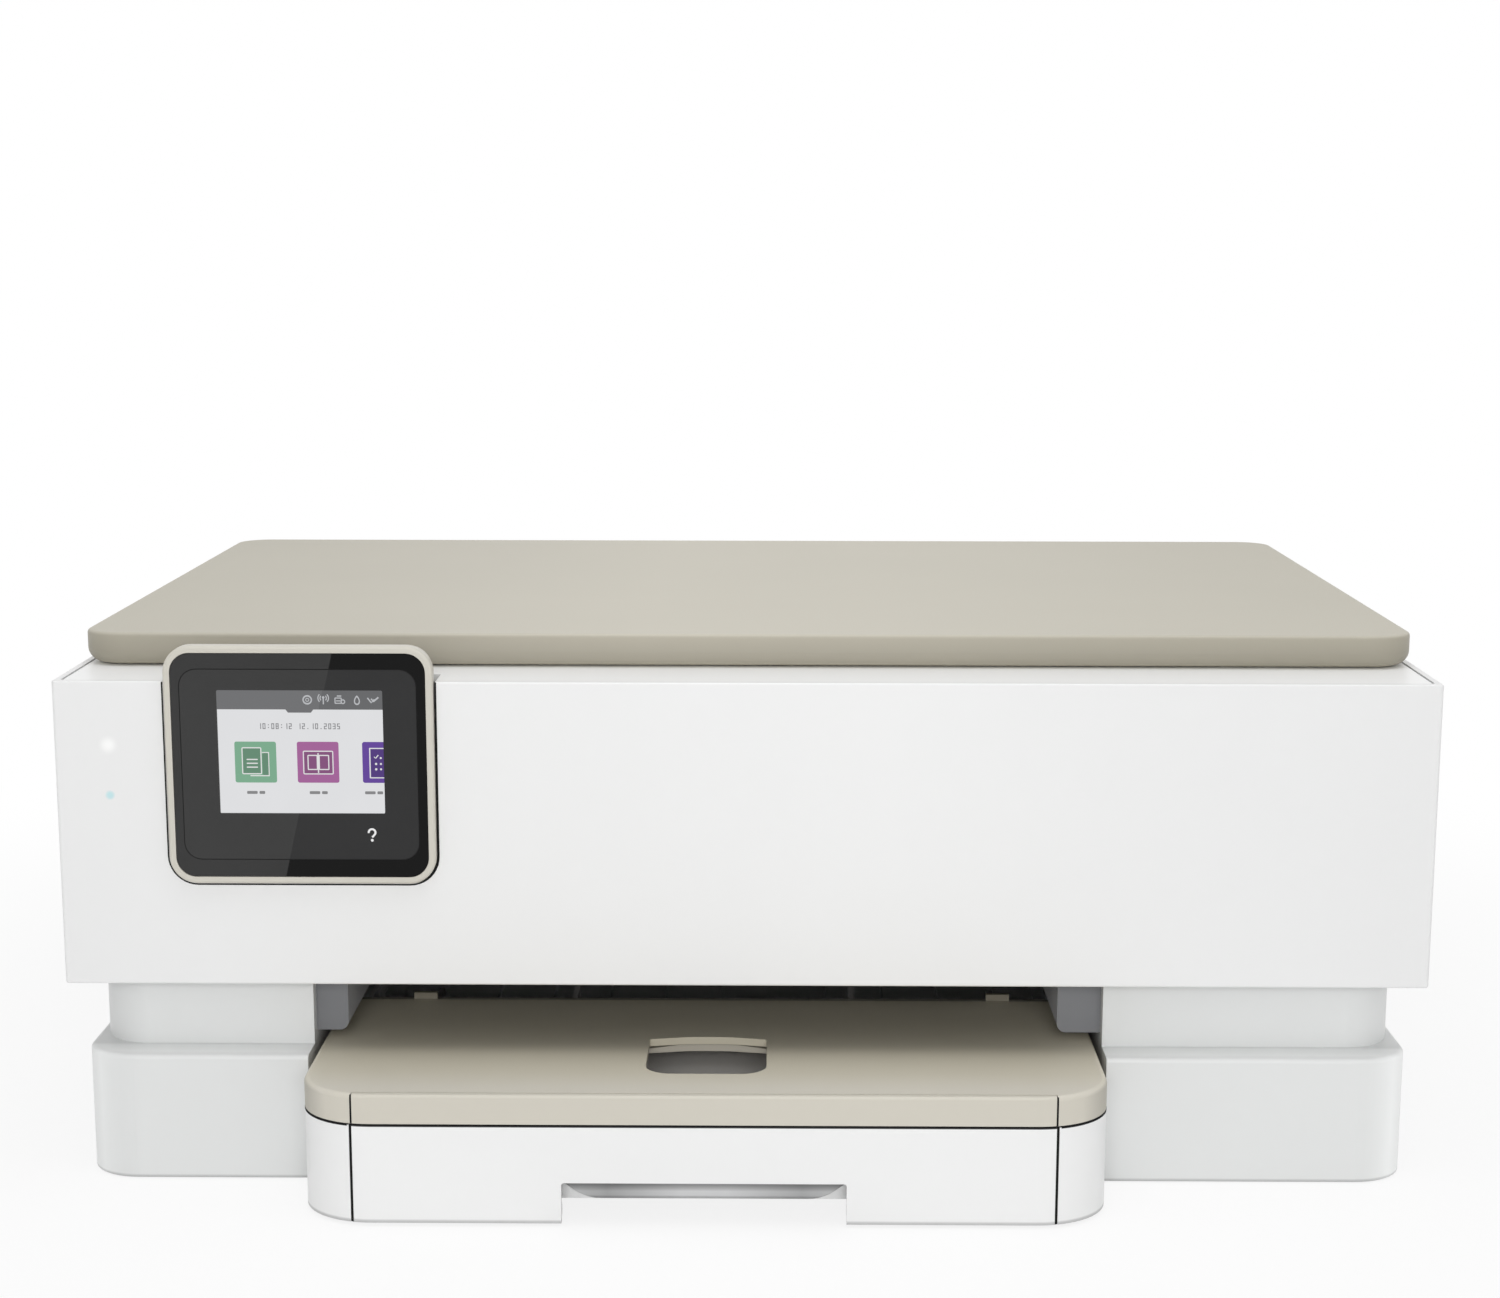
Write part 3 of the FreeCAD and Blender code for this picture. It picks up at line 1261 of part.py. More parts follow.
def make_photo_tray():
    half = tray_width / 2 - tray_wall - 0.6
    front = tray_front_y + 10.0
    outer = rounded_box(mouth_centre - half, mouth_centre + half, front, front + photo_depth,
                        photo_bottom_z, photo_top_z, 15.0, 3.0)
    room = rounded_box(mouth_centre - half + 2.0, mouth_centre + half - 2.0, front + 2.0,
                       front + photo_depth + 5.0, photo_bottom_z + 2.0, photo_top_z + 1.0, 13.0, 1.0)
    walls = []
    for side in (-1, 1):
        x = mouth_centre + side * photo_lane
        walls.append(block(x - 1.0, x + 1.0, front + 40.0, front + photo_depth, photo_bottom_z + 1.0,
                           photo_top_z))
    return outer.cut(room).fuse(walls).removeSplitter()


def make_width_guide(side):
    # The left guide's bar runs in front of the pinion, the right guide's behind it.
    face_x = mouth_centre + side * guide_open
    back_x = face_x + side * 2.2
    top = ledge_top_z - 0.6
    fence = block(min(face_x, back_x), max(face_x, back_x), rack_y - fence_front, rack_y + fence_rear,
                  rib_top_z + moving_gap, top)
    far_x = mouth_centre - side * rack_overlap
    low = tray_floor_z + moving_gap
    bar = rack(min(face_x, far_x), max(face_x, far_x), rack_y + side * pinion_radius, -side,
               rack_module, 3.6, low, low + 2.2)
    spine = rack_y + side * (pinion_radius + 1.25 * rack_module)
    edge = spine + side * 3.6
    foot = block(min(face_x, back_x), max(face_x, back_x), min(spine, edge), max(spine, edge),
                 low, rib_top_z + 3.0)
    return joined(fence, bar, foot)


def make_pinion():
    low = tray_floor_z + moving_gap
    place = lambda u, v: Vector(mouth_centre + u, rack_y + v, low)
    return gear(pinion_teeth, rack_module, math.pi / 2, place, Vector(0, 0, 2.4), 2.5 + running_gap)


def build():
    os.makedirs("parts", exist_ok=True)
    save("base_shell", make_base_shell())
    save("bottom_pan", make_bottom_pan())
    save("rubber_feet", *make_feet())
    save("base_screws", *make_screws())
    save("chassis_frame", make_chassis())
    save("carriage_rail", make_rail())
    save("platen", make_platen())
    save("drive_belt", make_belt())
    save("carriage_motor", make_carriage_motor())
    save("motor_pulley", make_pulley(pulley_reach, 1.5 + running_gap))
    save("idler_pulley", make_pulley(-pulley_reach, 2.0 + running_gap))
    save("feed_motor", make_feed_motor())
    save("motor_pinion", gear_at(drive_teeth, drive_y, drive_z, drive_phase, 1.5 + running_gap))
    save("feed_gear", gear_at(feed_teeth, feed_y, feed_z, feed_phase, feed_shaft_radius))
    save("idler_gear", gear_at(idler_teeth, idler_y, idler_z, idler_phase, 3.0 + running_gap))
    save("exit_gear", gear_at(exit_teeth, exit_y, exit_z, exit_phase, exit_shaft_radius))
    save("feed_shaft", make_shaft(feed_y, feed_z, feed_shaft_radius))
    save("exit_shaft", make_shaft(exit_y, exit_z, exit_shaft_radius))
    save("feed_tyres", *make_tyres(feed_y, feed_z, feed_shaft_radius, feed_tyre_radius, feed_tyre_width))
    save("exit_tyres", *make_tyres(exit_y, exit_z, exit_shaft_radius, exit_tyre_radius, exit_tyre_width))
    save("service_station", make_station())
    save("cap_sled", make_cap_sled())
    save("print_carriage", make_carriage())
    save("cartridge_colour", make_cartridge(-1))
    save("cartridge_black", make_cartridge(1))
    save("latch_colour", make_latch(-1))
    save("latch_black", make_latch(1))
    save("pick_arm", make_pick_arm())
    save("pick_roller", make_pick_roller())
    save("power_supply", make_supply())
    save("power_inlet", make_inlet())
    save("main_board", make_board())
    save("data_socket", make_socket())
    save("power_button", make_button())
    save("rear_door", make_rear_door())
    save("output_guide_left", make_output_guide(mouth_left, mouth_left + guide_block_left, "right"))
    save("output_guide_right", make_output_guide(mouth_right - guide_block_right, mouth_right, "left"))
    save("upper_shell", make_upper_shell())
    save("scanner_top", make_scanner_top())
    save("scanner_glass", make_glass())
    save("scanner_tub", make_tub())
    save("scan_rod", make_scan_rod())
    save("scan_carriage", make_scan_carriage())
    save("panel_cradle", make_cradle())
    save("status_lights", *make_lights())
    save("lid_hinges", *make_lid_hinges())
    save("lid_shell", make_lid())
    save("lid_pad", make_lid_pad())
    save("control_bezel", make_control_bezel())
    save("control_glass", make_control_glass())
    save("control_screen", make_screen())
    save("paper_tray", make_tray())
    save("tray_flap", make_flap())
    save("tray_pull", make_pull())
    save("output_cover", make_cover())
    save("output_extender", make_extender())
    save("photo_tray", make_photo_tray())
    save("width_guide_left", make_width_guide(-1))
    save("width_guide_right", make_width_guide(1))
    save("guide_pinion", make_pinion())


build()
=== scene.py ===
import bpy
import bmesh
import math
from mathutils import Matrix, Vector


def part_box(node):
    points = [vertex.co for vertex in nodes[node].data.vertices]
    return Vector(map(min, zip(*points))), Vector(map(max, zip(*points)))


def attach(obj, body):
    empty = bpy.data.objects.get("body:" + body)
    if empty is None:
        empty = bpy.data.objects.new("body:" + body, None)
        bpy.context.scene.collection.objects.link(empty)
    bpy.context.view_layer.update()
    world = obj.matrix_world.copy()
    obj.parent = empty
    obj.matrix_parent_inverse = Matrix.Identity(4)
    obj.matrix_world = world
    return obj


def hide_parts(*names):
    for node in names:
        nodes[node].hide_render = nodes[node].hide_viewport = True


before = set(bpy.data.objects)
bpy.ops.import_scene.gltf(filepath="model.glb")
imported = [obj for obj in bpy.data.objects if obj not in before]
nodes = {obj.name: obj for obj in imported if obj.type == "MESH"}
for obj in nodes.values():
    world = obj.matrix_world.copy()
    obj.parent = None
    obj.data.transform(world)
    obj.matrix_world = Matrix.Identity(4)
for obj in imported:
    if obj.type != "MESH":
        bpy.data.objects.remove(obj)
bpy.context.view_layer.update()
mm = 0.001
bite = 0.05 * mm  # how far a laid piece sinks into what carries it
print("frame in place:", len(nodes), "solids")


# finishes: every one is built from noise in the printer's own coordinates
noiseSpan = (0.3, 0.7)  # most values of a noise lie here
mixSockets = {"amount": 0, "first": 6, "second": 7, "result": 2}  # the colour ones of a mix node


def grey(share):
    return share, share, share


def tinted(colour, share):
    return tuple(min(1.0, c * share) for c in colour)


def startFinish(name):
    finish = bpy.data.materials.new(name)
    finish.use_nodes = True
    tree = finish.node_tree
    tree.nodes.clear()
    shader = tree.nodes.new("ShaderNodeBsdfPrincipled")
    out = tree.nodes.new("ShaderNodeOutputMaterial")
    tree.links.new(shader.outputs["BSDF"], out.inputs["Surface"])
    spot = tree.nodes.new("ShaderNodeTexCoord")
    return finish, tree, shader, spot.outputs["Object"]


def cloud(tree, where, scale, detail=2.0):
    node = tree.nodes.new("ShaderNodeTexNoise")
    node.inputs["Scale"].default_value = scale
    node.inputs["Detail"].default_value = detail
    tree.links.new(where, node.inputs["Vector"])
    return node.outputs["Fac"]


def stretched(tree, where, scale):
    node = tree.nodes.new("ShaderNodeMapping")
    node.inputs["Scale"].default_value = scale
    tree.links.new(where, node.inputs["Vector"])
    return node.outputs["Vector"]


def tones(tree, amount, stops):
    node = tree.nodes.new("ShaderNodeValToRGB")
    ramp = node.color_ramp
    ramp.elements[1].position = stops[-1][0]
    ramp.elements[1].color = (*stops[-1][1], 1.0)
    ramp.elements[0].position = stops[0][0]
    ramp.elements[0].color = (*stops[0][1], 1.0)
    for at, colour in stops[1:-1]:
        ramp.elements.new(at).color = (*colour, 1.0)
    tree.links.new(amount, node.inputs["Fac"])
    return node.outputs["Color"]


def mottled(tree, noise, colour, shares, span=noiseSpan):
    return tones(tree, noise, [(at, tinted(colour, share)) for at, share in zip(span, shares)])


def ranged(tree, amount, fromLow, fromHigh, toLow, toHigh, smooth=False):
    node = tree.nodes.new("ShaderNodeMapRange")
    if smooth:
        node.interpolation_type = "SMOOTHERSTEP"
    limits = {"From Min": fromLow, "From Max": fromHigh, "To Min": toLow, "To Max": toHigh}
    for socket, value in limits.items():
        node.inputs[socket].default_value = value
    tree.links.new(amount, node.inputs["Value"])
    return node.outputs["Result"]


def blended(tree, amount, first, second, way="MIX"):
    node = tree.nodes.new("ShaderNodeMix")
    node.data_type = "RGBA"
    node.blend_type = way
    if amount is None:
        node.inputs[mixSockets["amount"]].default_value = 1.0
    else:
        tree.links.new(amount, node.inputs[mixSockets["amount"]])
    tree.links.new(first, node.inputs[mixSockets["first"]])
    tree.links.new(second, node.inputs[mixSockets["second"]])
    return node.outputs[mixSockets["result"]]


def multiplied(tree, colour, tone):
    return blended(tree, None, colour, tone, "MULTIPLY")


def roughened(tree, shader, noise, limits):
    tree.links.new(ranged(tree, noise, *noiseSpan, *limits), shader.inputs["Roughness"])


def relief(tree, shader, height, look):
    node = tree.nodes.new("ShaderNodeBump")
    node.inputs["Strength"].default_value = look["strength"]
    node.inputs["Distance"].default_value = look["depth"]
    tree.links.new(height, node.inputs["Height"])
    tree.links.new(node.outputs["Normal"], shader.inputs["Normal"])


def distanceTo(tree, where, spot):
    node = tree.nodes.new("ShaderNodeVectorMath")
    node.operation = "DISTANCE"
    node.inputs[1].default_value = spot
    tree.links.new(where, node.inputs[0])
    return node.outputs["Value"]


def axisOf(tree, where, axis):
    node = tree.nodes.new("ShaderNodeSeparateXYZ")
    tree.links.new(where, node.inputs[0])
    return node.outputs[axis]


def paintShadeAlong(tree, where, colour, fade):
    # painted light and shade: a slow change of tone along one axis of the printer
    along = ranged(tree, axisOf(tree, where, fade["axis"]), fade["from"], fade["to"], 0.0, 1.0)
    return multiplied(tree, colour, tones(tree, along, fade["stops"]))


sideTurn = (0.6, 0.95)  # how squarely a wall has to face left or right


def paintSideShading(tree, colour, share):
    # painted light and shade: walls that face left or right are painted lighter or darker, for how the light
    # falls on them
    facing = tree.nodes.new("ShaderNodeTexCoord")
    across = tree.nodes.new("ShaderNodeMath")
    across.operation = "ABSOLUTE"
    tree.links.new(axisOf(tree, facing.outputs["Normal"], "X"), across.inputs[0])
    along = ranged(tree, across.outputs[0], *sideTurn, 0.0, 1.0)
    return multiplied(tree, colour, tones(tree, along, [(0.0, grey(1.0)), (1.0, grey(share))]))


def addGlow(tree, shader, where, glow):
    # light that seeps through the thin wall round an indicator
    near = ranged(tree, distanceTo(tree, where, glow["at"]), 0.0, glow["reach"], 1.0, 0.0, True)
    lit = tones(tree, near, [(0.0, grey(0.0)), (1.0, glow["tint"])])
    tree.links.new(lit, shader.inputs["Emission Color"])
    shader.inputs["Emission Strength"].default_value = 1.0


usualPlastic = {"drift": 0.02, "patch": 8.0, "detail": 3.0, "grain": 2200.0, "depth": 0.00002,
                "strength": 0.3, "gloss": 0.4, "paintedShades": ()}


def mouldedPlastic(name, given):
    finish, tree, shader, where = startFinish(name)
    look = {**usualPlastic, **given}
    patches = cloud(tree, where, look["patch"], look["detail"])
    colour = mottled(tree, patches, look["colour"], (1 - look["drift"], 1 + look["drift"]))
    for fade in look["paintedShades"]:
        colour = paintShadeAlong(tree, where, colour, fade)
    if "sideShading" in look:
        colour = paintSideShading(tree, colour, look["sideShading"])
    if "spot" in look:
        spot = look["spot"]
        near = ranged(tree, distanceTo(tree, where, spot["at"]), spot["core"], spot["reach"], 1.0, 0.0, True)
        colour = multiplied(tree, colour, tones(tree, near, [(0.0, grey(1.0)), (1.0, spot["tone"])]))
    tree.links.new(colour, shader.inputs["Base Color"])
    grain = cloud(tree, where, look["grain"])
    roughened(tree, shader, grain, look["roughness"])
    relief(tree, shader, grain, look)
    shader.inputs["Specular IOR Level"].default_value = look["gloss"]
    if "glow" in look:
        addGlow(tree, shader, where, look["glow"])
    return finish


usualSteel = {"lines": 60.0, "detail": 4.0, "shares": (0.85, 1.08), "depth": 0.00001, "strength": 0.2}


def turnedSteel(name, given):
    finish, tree, shader, where = startFinish(name)
    look = {**usualSteel, **given}
    lines = cloud(tree, stretched(tree, where, look["stretch"]), look["lines"], look["detail"])
    tree.links.new(mottled(tree, lines, look["colour"], look["shares"]), shader.inputs["Base Color"])
    roughened(tree, shader, lines, look["roughness"])
    relief(tree, shader, lines, look)
    shader.inputs["Metallic"].default_value = 1.0
    return finish


paneLook = {"dots": 6000.0, "dim": 0.97, "soft": 60.0, "shares": (0.98, 1.02), "span": (0.2, 0.8),
            "mix": (0.2, 0.6), "colour": (0.01, 0.01, 0.011), "roughness": (0.16, 0.22), "gloss": 0.2}


def litDisplay(name, tone):
    # a dark pane that glows through a fine lattice of picture dots
    finish, tree, shader, where = startFinish(name)
    dots = tree.nodes.new("ShaderNodeTexChecker")
    dots.inputs["Scale"].default_value = paneLook["dots"]
    tree.links.new(where, dots.inputs["Vector"])
    soft = cloud(tree, where, paneLook["soft"])
    shine = blended(tree, ranged(tree, soft, *paneLook["span"], *paneLook["mix"]),
                    tones(tree, dots.outputs["Fac"], [(0.0, tinted(tone, paneLook["dim"])), (1.0, tone)]),
                    mottled(tree, soft, tone, paneLook["shares"]))
    tree.links.new(shine, shader.inputs["Emission Color"])
    shader.inputs["Emission Strength"].default_value = 1.0
    shader.inputs["Base Color"].default_value = (*paneLook["colour"], 1.0)
    roughened(tree, shader, soft, paneLook["roughness"])
    shader.inputs["Specular IOR Level"].default_value = paneLook["gloss"]
    return finish


usualSheen = {"edge": (-0.1449, -0.1488, 0.145), "slant": 12.9, "blur": 0.0002, "smears": 35.0, "detail": 4.0,
              "shares": (0.93, 1.07), "roughness": (0.10, 0.16)}


def sheenGlass(name, given):
    # black glass with a painted reflection: a paler sheen on one side of a slanted edge, darker on the other
    finish, tree, shader, where = startFinish(name)
    look = {**usualSheen, **given}
    lean = tree.nodes.new("ShaderNodeMapping")
    lean.vector_type = "TEXTURE"
    lean.inputs["Location"].default_value = look["edge"]
    lean.inputs["Rotation"].default_value = (0.0, math.radians(look["slant"]), 0.0)
    tree.links.new(where, lean.inputs["Vector"])
    across = ranged(tree, axisOf(tree, lean.outputs["Vector"], "X"), -look["blur"], look["blur"], 0.0, 1.0)
    smears = cloud(tree, where, look["smears"], look["detail"])
    left = mottled(tree, smears, look["pale"], look["shares"])
    right = mottled(tree, smears, look["dark"], look["shares"])
    tree.links.new(blended(tree, across, left, right), shader.inputs["Base Color"])
    roughened(tree, shader, smears, look["roughness"])
    shader.inputs["Specular IOR Level"].default_value = look["gloss"]
    return finish


def clearGlass(name, look):
    finish, tree, shader, where = startFinish(name)
    smears = cloud(tree, where, look["smears"], look["detail"])
    tree.links.new(mottled(tree, smears, look["colour"], look["shares"]), shader.inputs["Base Color"])
    roughened(tree, shader, smears, look["roughness"])
    shader.inputs["Transmission Weight"].default_value = 1.0
    shader.inputs["IOR"].default_value = look["bend"]
    return finish


def circuitBoard(name, look):
    # green laminate below, dark components above it
    finish, tree, shader, where = startFinish(name)
    tracks = tree.nodes.new("ShaderNodeTexBrick")
    tracks.inputs["Scale"].default_value = look["tracks"]
    tracks.inputs["Mortar Size"].default_value = look["gap"]
    for socket, share in look["greens"].items():
        tracks.inputs[socket].default_value = (*tinted(look["green"], share), 1.0)
    tree.links.new(where, tracks.inputs["Vector"])
    specks = cloud(tree, where, look["specks"])
    parts = mottled(tree, specks, look["parts"], look["shares"], look["span"])
    above = ranged(tree, axisOf(tree, where, "Z"), look["top"], look["top"] + look["blur"], 0.0, 1.0)
    tree.links.new(blended(tree, above, tracks.outputs["Color"], parts), shader.inputs["Base Color"])
    roughened(tree, shader, specks, look["roughness"])
    relief(tree, shader, specks, look)
    return finish


usualRubber = {"along": "X", "wander": 0.3, "dust": 180.0, "detail": 4.0, "shares": (0.8, 1.35),
               "span": (0.3, 0.75), "roughness": (0.6, 0.85), "depth": 0.0002, "strength": 0.4}


def ribbedRubber(name, given):
    # fine ribs run across a tyre or a belt
    finish, tree, shader, where = startFinish(name)
    look = {**usualRubber, **given}
    ribs = tree.nodes.new("ShaderNodeTexWave")
    ribs.bands_direction = look["along"]
    ribs.inputs["Scale"].default_value = look["ribs"]
    ribs.inputs["Distortion"].default_value = look["wander"]
    tree.links.new(where, ribs.inputs["Vector"])
    dust = cloud(tree, where, look["dust"], look["detail"])
    colour = mottled(tree, dust, look["colour"], look["shares"], look["span"])
    tree.links.new(colour, shader.inputs["Base Color"])
    roughened(tree, shader, dust, look["roughness"])
    relief(tree, shader, ribs.outputs["Fac"], look)
    return finish


lightHigh = (-0.212, -0.146, 0.151)
lightLow = (-0.212, -0.146, 0.134)
panelGlow = {"at": lightHigh, "reach": 0.0040, "tint": (0.12, 0.12, 0.115)}
# painted shade: the front panel a little darker towards both ends, where the light falls off
panelEndShade = {"axis": "X", "from": -0.23, "to": 0.23, "stops": [
    (0.0, grey(0.955)), (0.25, grey(0.98)), (0.45, grey(1.0)), (0.6, grey(1.0)), (0.85, grey(0.965)),
    (1.0, grey(0.945))]}
panelLook = {"colour": (0.86, 0.862, 0.861), "drift": 0.006, "roughness": (0.30, 0.38), "gloss": 0.35,
             "paintedShades": (panelEndShade,), "glow": panelGlow}
panelWhite = mouldedPlastic("panelWhite", panelLook)
topWhite = mouldedPlastic("topWhite", {
    "colour": (0.925, 0.928, 0.925), "drift": 0.006, "roughness": (0.34, 0.42), "gloss": 0.35})
# painted light on the ledge under the panel's overhang; painted shade along the base's foot and towards its
# left end
baseLedgeLight = {"axis": "Y", "from": -0.147, "to": -0.130, "stops": [
    (0.05, grey(1.0)), (0.35, grey(1.30)), (0.75, grey(1.30)), (0.92, grey(1.08))]}
baseFootShade = {"axis": "Z", "from": 0.0003, "to": 0.0019, "stops": [
    (0.0, grey(0.66)), (0.45, grey(0.72)), (0.9, grey(1.0))]}
baseSideShade = {"axis": "X", "from": -0.2262, "to": -0.2060, "stops": [(0.0, grey(0.88)), (1.0, grey(1.0))]}
# painted shade: the base's white is a darker copy of the panel's, for the dimmer light low on the printer
baseShadedWhite = mouldedPlastic("baseShadedWhite", {
    "colour": (0.75, 0.76, 0.755), "drift": 0.008, "roughness": (0.32, 0.42), "gloss": 0.35,
    "paintedShades": (baseLedgeLight, baseFootShade, baseSideShade)})
# painted shade along the bottom edge of the tray and its flap, and a painted shadow line along the flap's top
# edge
trayFootShade = {"axis": "Z", "from": 0.0011, "to": 0.0027, "stops": [
    (0.0, grey(0.58)), (0.4, grey(0.66)), (0.85, grey(1.0))]}
flapEdgeShade = {"axis": "Z", "from": 0.0331, "to": 0.0341, "stops": [
    (0.64, grey(1.0)), (0.70, grey(0.06)), (1.0, grey(0.04))]}
trayLook = {"colour": (0.86, 0.862, 0.86), "drift": 0.006, "roughness": (0.30, 0.38), "gloss": 0.35}
trayWhite = mouldedPlastic("trayWhite", {**trayLook, "paintedShades": (trayFootShade,)})
flapWhite = mouldedPlastic("flapWhite", {**trayLook, "paintedShades": (trayFootShade, flapEdgeShade)})
# painted shade on the lid: its front rim darker than its top, its lowest edge painted lighter against the
# gap's shade, its top darker towards both ends
lidRimShade = {"axis": "Z", "from": 0.1729, "to": 0.1841, "stops": [
    (0.0, (1.30, 1.29, 1.25)), (0.06, (0.98, 0.97, 0.95)), (0.12, (0.76, 0.75, 0.73)),
    (0.20, (0.69, 0.68, 0.66)), (0.45, (0.675, 0.665, 0.645)), (0.92, (0.78, 0.77, 0.75)),
    (0.985, grey(1.0))]}
lidEndShade = {"axis": "X", "from": -0.22, "to": 0.22, "stops": [
    (0.0, (0.855, 0.855, 0.845)), (0.25, grey(0.93)), (0.42, grey(1.0)), (0.6, grey(0.98)),
    (1.0, (0.875, 0.875, 0.865))]}
lidBeige = mouldedPlastic("lidBeige", {
    "colour": (0.592, 0.561, 0.476), "drift": 0.012, "roughness": (0.42, 0.55), "depth": 0.00005,
    "gloss": 0.3, "paintedShades": (lidRimShade, lidEndShade)})
trimBeige = mouldedPlastic("trimBeige", {
    "colour": (0.61, 0.587, 0.52), "drift": 0.01, "roughness": (0.34, 0.42)})
coverLook = {"colour": (0.62, 0.59, 0.515), "drift": 0.012, "roughness": (0.36, 0.46), "gloss": 0.35}
# painted light and shade on the cover: lighter and warmer towards the back to lift the shade under the panel,
# its rear tabs painted dark, its side walls painted darker
coverShadeAndLight = {"axis": "Y", "from": -0.190, "to": -0.070, "stops": [
    (0.06, grey(1.0)), (0.20, (0.96, 0.945, 0.89)), (0.40, (1.0, 0.975, 0.89)), (0.70, (1.06, 1.03, 0.93)),
    (0.94, (1.10, 1.07, 0.97)), (0.946, (0.50, 0.48, 0.43))]}
coverBeige = mouldedPlastic("coverBeige", {**coverLook, "paintedShades": (coverShadeAndLight,), "sideShading": 0.72})
# painted shade: the extender darker towards the back, under the panel
extenderShade = {"axis": "Y", "from": -0.190, "to": -0.130, "stops": [
    (0.1, grey(1.0)), (0.3, (0.85, 0.84, 0.82))]}
extenderBeige = mouldedPlastic("extenderBeige", {**coverLook, "paintedShades": (extenderShade,)})
greyLook = {"colour": (0.235, 0.24, 0.255), "drift": 0.04, "roughness": (0.45, 0.6), "gloss": 0.3}
# painted light: the guides' walls that face left or right are painted much lighter
guideGrey = mouldedPlastic("guideGrey", {**greyLook, "sideShading": 2.3})
hingeGrey = mouldedPlastic("hingeGrey", greyLook)
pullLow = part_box("tray_pull")[0]
# painted shade on the pull: darker towards both ends, and up its height darker at the bottom, a painted
# highlight in the middle and a dark band at the top
pullEndShade = {"axis": "X", "from": -0.0602, "to": 0.0338, "stops": [
    (0.0, grey(0.8)), (0.16, grey(0.52)), (0.42, grey(0.9)), (0.58, grey(0.9)), (0.84, grey(0.56)),
    (1.0, grey(0.8))]}
pullShadeBands = {"axis": "Z", "from": pullLow.z, "to": pullLow.z + 0.0050, "stops": [
    (0.0, grey(0.72)), (0.14, grey(0.76)), (0.24, grey(1.15)), (0.52, grey(1.2)), (0.72, grey(0.82)),
    (0.92, grey(0.55))]}
pullGrey = mouldedPlastic("pullGrey", {
    "colour": (0.68, 0.685, 0.69), "roughness": (0.34, 0.44), "paintedShades": (pullEndShade, pullShadeBands)})
buttonGrey = mouldedPlastic("buttonGrey", {
    "colour": (0.52, 0.525, 0.53), "roughness": (0.34, 0.44)})
photoGrey = mouldedPlastic("photoGrey", {
    "colour": (0.80, 0.785, 0.77), "roughness": (0.42, 0.55), "gloss": 0.3})
# painted shadow: near black for the dark strips that stand for the shade in the gaps, and for the groove
# round the glass's inner field
seamShadeBlack = mouldedPlastic("seamShadeBlack", {
    "colour": (0.012, 0.012, 0.012), "drift": 0.2, "roughness": (0.65, 0.85), "gloss": 0.08})
wellGrey = mouldedPlastic("wellGrey", {
    "colour": (0.40, 0.39, 0.38), "drift": 0.03, "roughness": (0.45, 0.6), "gloss": 0.3})
panGrey = mouldedPlastic("panGrey", {
    "colour": (0.15, 0.152, 0.16), "drift": 0.05, "roughness": (0.5, 0.65), "depth": 0.00008})
engineBlack = mouldedPlastic("engineBlack", {
    "colour": (0.022, 0.022, 0.024), "drift": 0.12, "roughness": (0.42, 0.6), "depth": 0.00005,
    "gloss": 0.35})
caseBlack = mouldedPlastic("caseBlack", {
    "colour": (0.028, 0.028, 0.031), "drift": 0.1, "roughness": (0.32, 0.48), "gloss": 0.45})
caseBlue = mouldedPlastic("caseBlue", {
    "colour": (0.06, 0.075, 0.13), "drift": 0.08, "roughness": (0.32, 0.48), "gloss": 0.45})
latchGrey = mouldedPlastic("latchGrey", {
    "colour": (0.30, 0.31, 0.33), "drift": 0.04, "roughness": (0.36, 0.5)})
gearCream = mouldedPlastic("gearCream", {
    "colour": (0.70, 0.68, 0.60), "drift": 0.03, "roughness": (0.35, 0.5)})
padWhite = mouldedPlastic("padWhite", {
    "colour": (0.82, 0.82, 0.815), "drift": 0.015, "grain": 900.0, "roughness": (0.55, 0.75), "depth": 0.0002,
    "strength": 0.4, "gloss": 0.2})
footRubber = mouldedPlastic("footRubber", {
    "colour": (0.03, 0.03, 0.031), "drift": 0.2, "grain": 900.0, "roughness": (0.7, 0.9), "depth": 0.0001,
    "gloss": 0.2})
motorSteel = turnedSteel("motorSteel", {
    "colour": (0.50, 0.50, 0.51), "stretch": (1.0, 30.0, 30.0), "roughness": (0.25, 0.45)})
shaftSteel = turnedSteel("shaftSteel", {
    "colour": (0.60, 0.60, 0.61), "stretch": (40.0, 1.0, 1.0), "roughness": (0.18, 0.32)})
railZinc = turnedSteel("railZinc", {
    "colour": (0.55, 0.56, 0.58), "stretch": (1.0, 40.0, 40.0), "roughness": (0.30, 0.50)})
beltRubber = ribbedRubber("beltRubber", {"colour": (0.025, 0.025, 0.026), "ribs": 160.0})
tyreRubber = ribbedRubber("tyreRubber", {"colour": (0.11, 0.11, 0.115), "ribs": 300.0})
bedGlass = clearGlass("bedGlass", {
    "colour": (0.86, 0.93, 0.90), "smears": 18.0, "detail": 4.0, "shares": (0.97, 1.0),
    "roughness": (0.0, 0.04), "bend": 1.5})
boardGreen = circuitBoard("boardGreen", {
    "green": (0.02, 0.13, 0.05), "greens": {"Color1": 1.0, "Color2": 0.8, "Mortar": 1.7}, "tracks": 160.0,
    "gap": 0.03, "parts": (0.03, 0.03, 0.033), "shares": (0.7, 1.3), "span": (0.35, 0.65), "specks": 400.0,
    "top": 0.01165, "blur": 0.0002, "roughness": (0.35, 0.55), "depth": 0.00003, "strength": 0.3})
# painted reflection on the control glass: paler left of the slanted edge, darker right of it, where the inner
# field is painted lighter than the border
outerSheenGlass = sheenGlass("outerSheenGlass", {"pale": grey(0.039), "dark": grey(0.002), "gloss": 0.15})
innerSheenGlass = sheenGlass("innerSheenGlass", {"pale": grey(0.030), "dark": (0.0155, 0.0155, 0.016), "gloss": 0.32})
pageLit = litDisplay("pageLit", (0.715, 0.72, 0.735))
lensMilk = mouldedPlastic("lensMilk", {
    **panelLook, "spot": {"at": lightLow, "core": 0.0005, "reach": 0.0021, "tone": (0.66, 0.925, 0.965)}})
print("finishes mixed:", len(bpy.data.materials))


